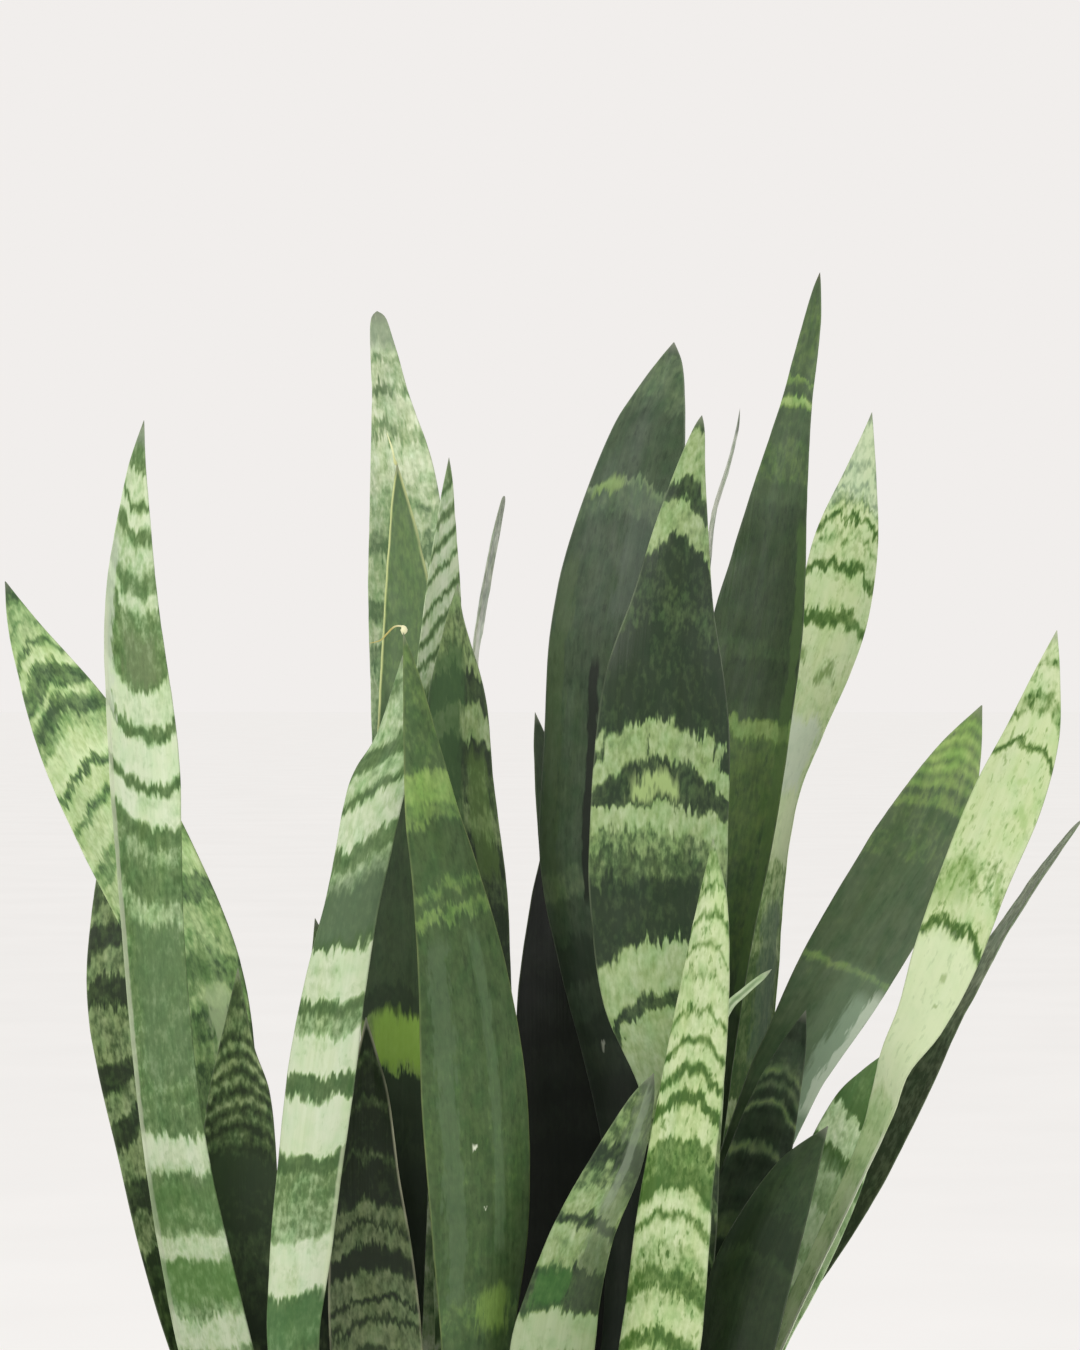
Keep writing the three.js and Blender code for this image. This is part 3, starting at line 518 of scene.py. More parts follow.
# Leaves
# Thirty stiff, waxy blades of one plant stand in the potting mix, thick and channelled at the foot
# and thin above. Each grew along its own curve, so its form is read from the frame's solid: a row of
# stations from the tip down, each with the blade's middle, width, hollow and thickness.
POINTS_IN_RING = 10
SHARES_ACROSS = 5
MEASURES = {"across": "FLOAT_VECTOR", "out": "FLOAT_VECTOR", "bow": "FLOAT", "mid": "FLOAT", "rim": "FLOAT"}
MM = 0.001
SAME_POINT = 1e-6
TIP_WIDTH_SHARE = 0.02


def stations_of(node):
    """Returns the leaf's stations from the tip down, as rows of named measures."""
    solid = bmesh.new()
    solid.from_mesh(node.data)
    bmesh.ops.remove_doubles(solid, verts=solid.verts, dist=SAME_POINT)
    tip = max(solid.verts, key=lambda vertex: vertex.co.z)
    none = Vector((0, 0, 0))
    stations = [{"middle": tip.co.copy(), "across": none, "out": none, "bow": 0.0, "mid": 0.0, "rim": 0.0}]
    ring, seen = [tip], {tip}
    while ring:
        nearby = [edge.other_vert(vertex) for vertex in ring for edge in vertex.link_edges]
        ring = [vertex for vertex in dict.fromkeys(nearby) if vertex not in seen]
        seen.update(ring)
        if len(ring) == POINTS_IN_RING:
            stations.append(measured(np.array([vertex.co for vertex in ring])))
    solid.free()
    stations[0]["out"] = stations[1]["out"]
    stations[0]["across"] = stations[1]["across"] * TIP_WIDTH_SHARE
    return stations


def measured(points):
    """Measures one ring of points: pairs of a front and a back point at even shares across the blade."""
    across = np.linalg.svd(points - points.mean(0))[2][0]
    pairs = points[np.argsort(points @ across)].reshape(SHARES_ACROSS, 2, 3)
    if across[0] < 0:
        pairs = pairs[::-1]
    middles = pairs.mean(1)
    gaps = pairs[:, 0] - pairs[:, 1]
    centre = (middles[0] + middles[-1]) / 2
    half = SHARES_ACROSS // 2
    out = gaps[half] / np.linalg.norm(gaps[half])
    if out[1] > 0:
        out = -out
    return {
        "middle": Vector(centre),
        "across": Vector((middles[-1] - middles[0]) / 2),
        "out": Vector(out),
        "bow": float((middles[half] - centre) @ out),
        "mid": float(np.linalg.norm(gaps[half]) / 2),
        "rim": float(np.linalg.norm(gaps[[0, -1]], axis=1).mean() / 2),
    }


def chain_mesh(name, points):
    """Returns a chain of edges through the points."""
    mesh = bpy.data.meshes.new(name)
    mesh.from_pydata(points, [(i, i + 1) for i in range(len(points) - 1)], [])
    return mesh


def spine_mesh(name, stations):
    """Returns a chain of edges through the stations, tip first, with the measures as attributes."""
    mesh = chain_mesh(name, [station["middle"] for station in stations])
    for measure, kind in MEASURES.items():
        layer = mesh.attributes.new(measure, kind, "POINT")
        if kind == "FLOAT":
            layer.data.foreach_set("value", [station[measure] for station in stations])
        else:
            layer.data.foreach_set("vector", [x for station in stations for x in station[measure]])
    return mesh


# The blade is grown round that chain: a sheet rolled into a flat tube, smooth from station to
# station, with hardened margins that wave a little and a tip that closes to a point.
BLADE_SHAPE = {
    "Points Round": 32,
    "Rows": 120,
    "Tip Crowding": 1.5,
    "Margin Roundness": 0.4,
    "Ripple": 0.05,
    "Ripple Length": 0.045,
    "Unevenness": 0.0016,
}
CHAIN_RESOLUTION = 16
RIPPLE_LUMPS = (2.0, 1.0, 1.0)
SWELL_LUMPS = (0.7, 0.35, 1.0)
LEVEL_AT_TIP = 0.03
FIRST_OPEN_ROW = 0.0001
SEAM_GAP = 4e-6
SEED_STEP = 3.7


def smooth_line(edges):
    """Turns a chain of edges into a smooth curve."""
    line = joined("GeometryNodeMeshToCurve", edges).outputs[0]
    return joined("GeometryNodeCurveSplineType", line, spline_type="CATMULL_ROM").outputs[0]


def sampled(measure, kind="FLOAT_VECTOR"):
    """Reads one of the chain's measures, or its place, at each row's share of the leaf's length."""
    value = add(blade, "GeometryNodeInputNamedAttribute", {"Name": measure}, data_type=kind).outputs[0]
    inputs = {"Curves": chain, "Value": value, "Factor": down_share}
    return add(blade, "GeometryNodeSampleCurve", inputs, data_type=kind, mode="FACTOR").outputs


def centred(place, size, detail):
    """Returns noise that lies evenly about nought."""
    return minus(grain(place, size, detail), 0.5)


def noted(mesh, name, value, kind="FLOAT"):
    """Stores a value for each point of a mesh under a name."""
    inputs = {"Geometry": mesh, "Name": name, "Value": value}
    return add(mesh.id_data, "GeometryNodeStoreNamedAttribute", inputs, data_type=kind).outputs[0]


def shaded_smooth(mesh):
    return joined("GeometryNodeSetShadeSmooth", mesh).outputs[0]


blade = bpy.data.node_groups.new("leaf blade", "GeometryNodeTree")
given = group_inputs(
    blade,
    Int=["Points Round", "Rows"],
    Float=["Tip Crowding", "Margin Roundness", "Ripple", "Ripple Length", "Unevenness", "Seed"],
    Material=["Material"],
)
finely = {"Geometry": smooth_line(given["Geometry"]), "Resolution": CHAIN_RESOLUTION}
chain = add(blade, "GeometryNodeSetSplineResolution", finely).outputs[0]
leaf_length = joined("GeometryNodeCurveLength", chain).outputs["Length"]
sheet = joined("GeometryNodeMeshGrid", 1.0, 1.0, given["Points Round"], given["Rows"]).outputs["Mesh"]
flat_place = parts_of(position(blade))
turn = times(minus(0.5, flat_place["X"]), 2 * math.pi)
steps_down = total(flat_place["Y"], 0.5)
down_share = maths("POWER", steps_down, given["Tip Crowding"])

middle = sampled("across")["Position"]
across = sampled("across")["Value"]
out = sampled("out")["Value"]
share = times(maths("COSINE", turn), -1.0)
rise = times(share, share)
lifted = maths("SINE", turn)
face = maths("SIGN", lifted)
roundness = maths("POWER", maths("ABSOLUTE", lifted), given["Margin Roundness"])
inner_half, rim_half = sampled("mid", "FLOAT")["Value"], sampled("rim", "FLOAT")["Value"]
half_thickness = total(inner_half, times(rise, minus(rim_half, inner_half)))
bow = times(sampled("bow", "FLOAT")["Value"], minus(1.0, rise))
down = times(down_share, leaf_length)
half_width = length_of(across)
wave_place = combined(share, maths("DIVIDE", down, given["Ripple Length"]), given["Seed"])
ripple = times(centred(wave_place, RIPPLE_LUMPS, 2), rise, times(half_width, given["Ripple"]))
swell = times(centred(wave_place, SWELL_LUMPS, 2), given["Unevenness"], between(down, 0.0, LEVEL_AT_TIP))
lift = total(bow, ripple, swell, times(face, half_thickness, roundness))
past_tip = maths("GREATER_THAN", steps_down, FIRST_OPEN_ROW)
open_row = times(past_tip, maths("LESS_THAN", steps_down, 1 - FIRST_OPEN_ROW))
spread = vector_maths("ADD", stretched(across, share), stretched(out, lift))
skin_place = vector_maths("ADD", middle, stretched(spread, open_row))
marked = noted(sheet, "blade", combined(share, down, half_width), "FLOAT_VECTOR")
tube = moved(noted(marked, "face", face), Position=skin_place)
closed = add(blade, "GeometryNodeMergeByDistance", {"Geometry": tube, "Distance": SEAM_GAP}).outputs[0]
end_tree(shaded_smooth(closed), given["Material"])

# The skin is banded across: dark green and silvery green, in rows that arch towards the tip, with
# broken, ragged edges of fine lengthwise teeth. Each kind of skin has four shades from dark to pale;
# how far flecks go at the rows' edges and how far elsewhere; how broken the rows are, and how strong
# the faint rows between them; and how pale the rows are low down, where they are made up with a fixed
# seed, because the picture doesn't show them.
SKIN_PARTS = ("shades", "flecks", "mottle", "broken", "faint_rows", "lower_paleness")
SKINS = {
    "silver": (("4c663c", "6a8356", "a1b68d", "c8d3b8"), 0.5, 0.03, 0.28, 0.35, 0.85),
    "soft": (("566b4c", "849672", "b0b99e", "c6ccba"), 0.3, 0.03, 0.4, 0.6, 0.85),
    "lime": (("48682c", "758f54", "a6b987", "c2cfa5"), 0.55, 0.04, 0.3, 0.3, 0.85),
    "green": (("283824", "50643f", "8ca06e", "abbb94"), 0.5, 0.03, 0.26, 0.3, 0.5),
    "grey_green": (("42573c", "76905f", "a8ba8a", "c3cfaa"), 0.45, 0.03, 0.26, 0.4, 0.6),
    "purplish": (("1d2b12", "425430", "7a8961", "97a17f"), 0.5, 0.03, 0.26, 0.25, 0.4),
    "slate": (("2a3728", "455440", "6a7b5a", "8ba065"), 0.2, 0.01, 0.09, 0.09, 0.3),
    "deep": (("26361f", "3c4f30", "62793f", "8ba065"), 0.2, 0.01, 0.09, 0.09, 0.3),
    "bright_deep": (("35452f", "49583f", "748a50", "94aa68"), 0.2, 0.01, 0.06, 0.06, 0.35),
    "olive": (("2a3b1f", "435834", "718a4c", "95ac67"), 0.25, 0.01, 0.08, 0.08, 0.35),
    "edge": (("5c6158", "81867b", "a8aba0", "c1c4ba"), 0.5, 0.04, 0.2, 0.2, 0.6),
    "edge_dark": (("3b4730", "6a755c", "98a18b", "b0b8a3"), 0.5, 0.04, 0.2, 0.2, 0.3),
    # The shade skin is near black: painted shade for a leaf that stands deep in the others' shadow.
    "shade": (("0e130c", "171e14", "222a1e", "2e3727"), 0.3, 0.02, 0.1, 0.1, 0.1),
}
PLAIN_LOOK = {
    "arch": 6, "humps": 0, "slant": 0, "waver": 12, "ragged": 1, "dashes": 0.08, "marks_and_painted_light": (), "lift": 1,
    "margin": 0.35, "margin_width": 0.9, "margin_colour": "7f906c", "tip": "7f8474",
    # The last entry is painted shade low on the leaf: (from and to a pixel row, strength).
    "painted_shade": (1120, 1600, 0.4),
}

# Lengths on the leaf in millimetres, the shares of some, and the tones of the made-up rows
FEATHER = 3.6
MOST_OF_A_GAP = 0.9
HIDDEN_MARGIN = 14
GAP_BELOW_SEEN = 6
BARE_FOOT = 60
PALE_FOOT_START = 62
PALE_FOOT_END = 30
STEP_LENGTH = 12.0
TOOTH_LENGTHS = (4, 20)
MOST_FUZZ = 8.0
LEAST_SOFTNESS = 0.4
SOFT_SHARE = 0.1
BEND_RANGE = 100.0
DARK_LENGTHS = (9, 24)
DARK_TONES = (0.08, 0.25)
PALE_LENGTHS = (6, 20)
PALE_TONES = (0.6, 1)

# How large the skin's patterns are in metres across and along the leaf, and from face to face
FULL_ARCH_WIDTH = 0.013
FACE_STEP = 0.37
WANDER = (0.010, 0.032, 1)
STEPS = (0.0042, 0.017, 1)
TEETH = (0.0015, 0.009, 1)
TOOTH_PATCHES = (0.016, 0.022, 1)
FLECKS = (0.0021, 0.0052, 1)
BREAKS = (0.0075, 0.0065, 1)
FAINT_ROWS = (0.024, 0.0048, 1)
CLOUDS = (0.013, 0.05, 1)
DASHES = (0.002, 0.007, 1)
DRY_TIP = (0.0015, 0.007)
WAX = (0.006, 0.03, 1)
RIBS = (0.0011, 0.12, 1)
PORES = (0.0006, 0.0014, 1)

# Soft streaks, warm patches and cool patches: size, range of the noise, strength and shade
TINTS = (
    ((0.0014, 0.16, 1), 0.35, 0.75, 0.2, "1d2a1c"),
    ((0.009, 0.04, 1), 0.35, 0.7, 0.35, "8a9a55"),
    ((0.007, 0.012, 2), 0.42, 0.68, 0.4, "6c9c80"),
)

# How strong the other patterns are, and the gloss and relief of the wax
CLOUD_STRENGTH = 0.2
DRY_STRENGTH = 0.6
FOOT_STRENGTH = 0.7
GLOSS = 0.25
RIB_SHARE = 0.75
SKIN_RELIEF = 0.0003
SKIN_RELIEF_STRENGTH = 0.45

# The picture is a level view of the leaves, square on, and this places its pixel rows.
CAMERA_DISTANCE = 2.4
CAMERA_HEIGHT = 0.7075
PICTURE_HEIGHT = 1350
METRES_PER_PIXEL = 0.0005


def rows_below_tip(stations):
    """Returns the picture's pixel row at each station, and how many millimetres of leaf lie above it."""
    rows, travelled = [], [0.0]
    for station in stations:
        _, y, z = station["middle"]
        scale = METRES_PER_PIXEL * (CAMERA_DISTANCE + y) / CAMERA_DISTANCE
        rows.append(PICTURE_HEIGHT / 2 - (z - CAMERA_HEIGHT) / scale)
    for upper, lower in zip(stations, stations[1:]):
        travelled.append(travelled[-1] + (lower["middle"] - upper["middle"]).length / MM)
    return rows, travelled


def made_up_rows(draw, start, end, paleness):
    """Returns dark and pale rows for the stretch of leaf that no one sees in the picture."""
    rows = []
    at = start
    while at < end:
        rows.append((at, draw.uniform(*DARK_TONES)))
        rows.append((at + draw.uniform(*DARK_LENGTHS), paleness * draw.uniform(*PALE_TONES)))
        at = rows[-1][0] + draw.uniform(*PALE_LENGTHS)
    return rows


def curve_through(value, first, last, points):
    """Adds a curve of straight stretches from the first height through (place, height) points to the last."""
    made = add(value.id_data, "ShaderNodeFloatCurve", {"Value": value})
    line = made.mapping.curves[0]
    line.points[0].location = (0, first)
    line.points[1].location = (1, last)
    for point in points:
        line.points.new(*point)
    for point in line.points:
        point.handle_type = "VECTOR"
    made.mapping.update()
    return made.outputs[0]


def row_curve(place, rows, start, end):
    """Adds a curve that gives the paleness at a place between start and end, in millimetres."""
    edges = [at for at, _ in rows[1:]]
    others = [rows[0][0] - FEATHER, *edges]
    points = []
    for at, (_, before), (_, after) in zip(edges, rows, rows[1:]):
        nearest = min(abs(at - other) for other in [*others, at + FEATHER] if other != at)
        reach = min(FEATHER, nearest * MOST_OF_A_GAP) / 2
        points.extend([(at - reach, before), (at + reach, after)])
    inside = [((at - start) / (end - start), pale) for at, pale in points if start < at < end]
    return curve_through(between(place, start, end), rows[0][1], rows[-1][1], inside)


def touched_up(colour, mark, sideways, half_width, at, fuzz):
    """Paints a mark, real or painted light: (share across, width, from, to, shade, strength), lengths in
    millimetres.
    """
    share, width, start, end, shade, strength = mark
    off = maths("ABSOLUTE", minus(sideways, times(half_width, share)))
    off = total(maths("DIVIDE", off, MM), times(fuzz, min(MOST_FUZZ, width * width / MOST_FUZZ)))
    soft = max(LEAST_SOFTNESS, width * SOFT_SHARE)
    beside = between(off, width / 2 - soft, width / 2 + soft, strength, 0)
    fade = min(FEATHER, (end - start) / 4)
    within = times(between(at, start - fade, start + fade), between(at, end - fade, end + fade, 1, 0))
    return mixed(times(beside, within), colour, paint(shade))


def attribute(shader, name, output):
    """Reads one of the mesh's own attributes."""
    return add(shader.id_data, "ShaderNodeAttribute", {}, attribute_name=name).outputs[output]


def leaf_skin(name, look, stations, seed):
    """Returns the material of one leaf."""
    look = {**PLAIN_LOOK, **dict(zip(SKIN_PARTS, SKINS[look["skin"]])), **look}
    draw = random.Random(seed)
    picture_rows, travelled = rows_below_tip(stations)
    length = travelled[-1]
    made, shader = new_material(name)
    share, down, half_width = parts_of(attribute(shader, "blade", "Vector"))
    sideways = times(share, half_width)
    depth = total(times(attribute(shader, "face", "Fac"), FACE_STEP), seed)
    place = combined(sideways, down, depth)

    def below_tip(row):
        """Returns how many millimetres of leaf lie above a pixel row of the picture."""
        return float(np.interp(row, picture_rows, travelled))

    def varied(part):
        """Returns one number, or a curve through the numbers at pixel rows along the leaf."""
        if isinstance(look[part], (int, float)):
            return look[part]
        points = [(below_tip(row) / length, 0.5 + number / BEND_RANGE) for row, number in look[part].items()]
        made_curve = curve_through(maths("DIVIDE", down, length * MM), points[0][1], points[-1][1], points)
        return times(minus(made_curve, 0.5), BEND_RANGE)

    # Where the rows lie: arched, humped and slanted, wandering, and toothed at their edges
    arched = times(share, share, varied("arch"))
    humped = times(maths("COSINE", times(share, 2 * math.pi)), varied("humps"))
    slanted = times(share, varied("slant"))
    bend = times(total(arched, humped, slanted), between(half_width, 0, FULL_ARCH_WIDTH))
    wander, steps, teeth = [centred(place, size, 2) for size in (WANDER, STEPS, TEETH)]
    tooth_length = between(grain(place, TOOTH_PATCHES, 2), 0.35, 0.65, *TOOTH_LENGTHS)
    at = total(
        minus(maths("DIVIDE", down, MM), bend),
        times(wander, look["waver"]),
        times(steps, STEP_LENGTH * look["ragged"]),
        times(teeth, times(tooth_length, look["ragged"])),
    )

    # How pale the skin is there, with broken rows, flecks at their edges and a few dark dashes
    rows = [(below_tip(row), pale) for row, pale in look["rows"].items()]
    seen = rows[-1][0] + HIDDEN_MARGIN
    made_up = made_up_rows(draw, seen + GAP_BELOW_SEEN, length - BARE_FOOT, look["lower_paleness"])
    upper_pale = row_curve(at, rows, 0, seen)
    lower_pale = row_curve(at, [(seen, rows[-1][1]), *made_up], seen, length)
    halves = {0: maths("GREATER_THAN", at, seen), 2: upper_pale, 3: lower_pale}
    pale = add(shader.id_data, "ShaderNodeMix", halves).outputs[0]
    edge = times(pale, minus(1.0, pale))
    flecks = between(grain(place, FLECKS, 3), 0.34, 0.66, -1, 1)
    dashes = between(grain(place, DASHES, 2), 0.60, 0.68)
    in_row = combined(sideways, times(at, MM), depth)
    pale = total(
        pale,
        times(flecks, total(times(edge, look["flecks"]), varied("mottle"))),
        times(centred(place, BREAKS, 3), look["broken"]),
        times(centred(in_row, FAINT_ROWS, 2), look["faint_rows"]),
        times(centred(place, CLOUDS, 2), CLOUD_STRENGTH),
    )
    pale = minus(pale, times(dashes, look["dashes"]))

    # The colour: banded skin, streaked lengthwise, with its own marks (some of them painted shadow,
    # shade and sheen), thin pale margins, a dry tip and a pale foot, and painted shade that darkens it
    # low down where the leaves crowd
    dark, middling, light, palest = look["shades"]
    colour = ramp(pale, (0.1, dark), (0.38, middling), (0.68, light), (0.95, palest))
    for size, low, high, strength, shade in TINTS:
        tint = between(grain(place, size, 3), low, high, 0, strength)
        colour = mixed(tint, colour, paint(shade), "SOFT_LIGHT")
    colour = stretched(colour, look["lift"])
    fuzz = total(steps, teeth)
    for across, width, start, end, shade, strength in look["marks_and_painted_light"]:
        mark = (across, width, below_tip(start), below_tip(end), shade, strength)
        colour = touched_up(colour, mark, sideways, half_width, at, fuzz)
    inward = minus(half_width, maths("ABSOLUTE", sideways))
    rim = look["margin_width"] * MM
    margin = times(between(inward, 0.1 * rim, rim, look["margin"], 0), between(wander, -0.2, 0.15, 0.2, 1))
    colour = mixed(margin, colour, paint(look["margin_colour"]))
    colour = mixed(between(down, *DRY_TIP, DRY_STRENGTH, 0), colour, paint(look["tip"]))
    rooted = between(down, (length - PALE_FOOT_START) * MM, (length - PALE_FOOT_END) * MM)
    colour = mixed(times(rooted, FOOT_STRENGTH), colour, paint("b3b382"))
    # Painted shade: low on the leaf the colour is darkened towards near black, where the crowded leaves shade
    # it
    painted_shade_start, painted_shade_end, painted_shade_depth = look["painted_shade"]
    painted_shade = between(down, below_tip(painted_shade_start) * MM, below_tip(painted_shade_end) * MM, 0, painted_shade_depth)
    colour = mixed(painted_shade, colour, paint("0b120b"))

    # The surface: waxy, with fine lengthwise ribs
    relief = total(times(grain(place, RIBS, 2), RIB_SHARE), times(grain(place, PORES, 2), 1 - RIB_SHARE))
    fill(shader, {
        "Base Color": colour,
        "Roughness": between(grain(place, WAX, 3), 0.3, 0.7, 0.4, 0.54),
        "Specular IOR Level": GLOSS,
        "Normal": bump(relief, SKIN_RELIEF, SKIN_RELIEF_STRENGTH),
    })
    return made
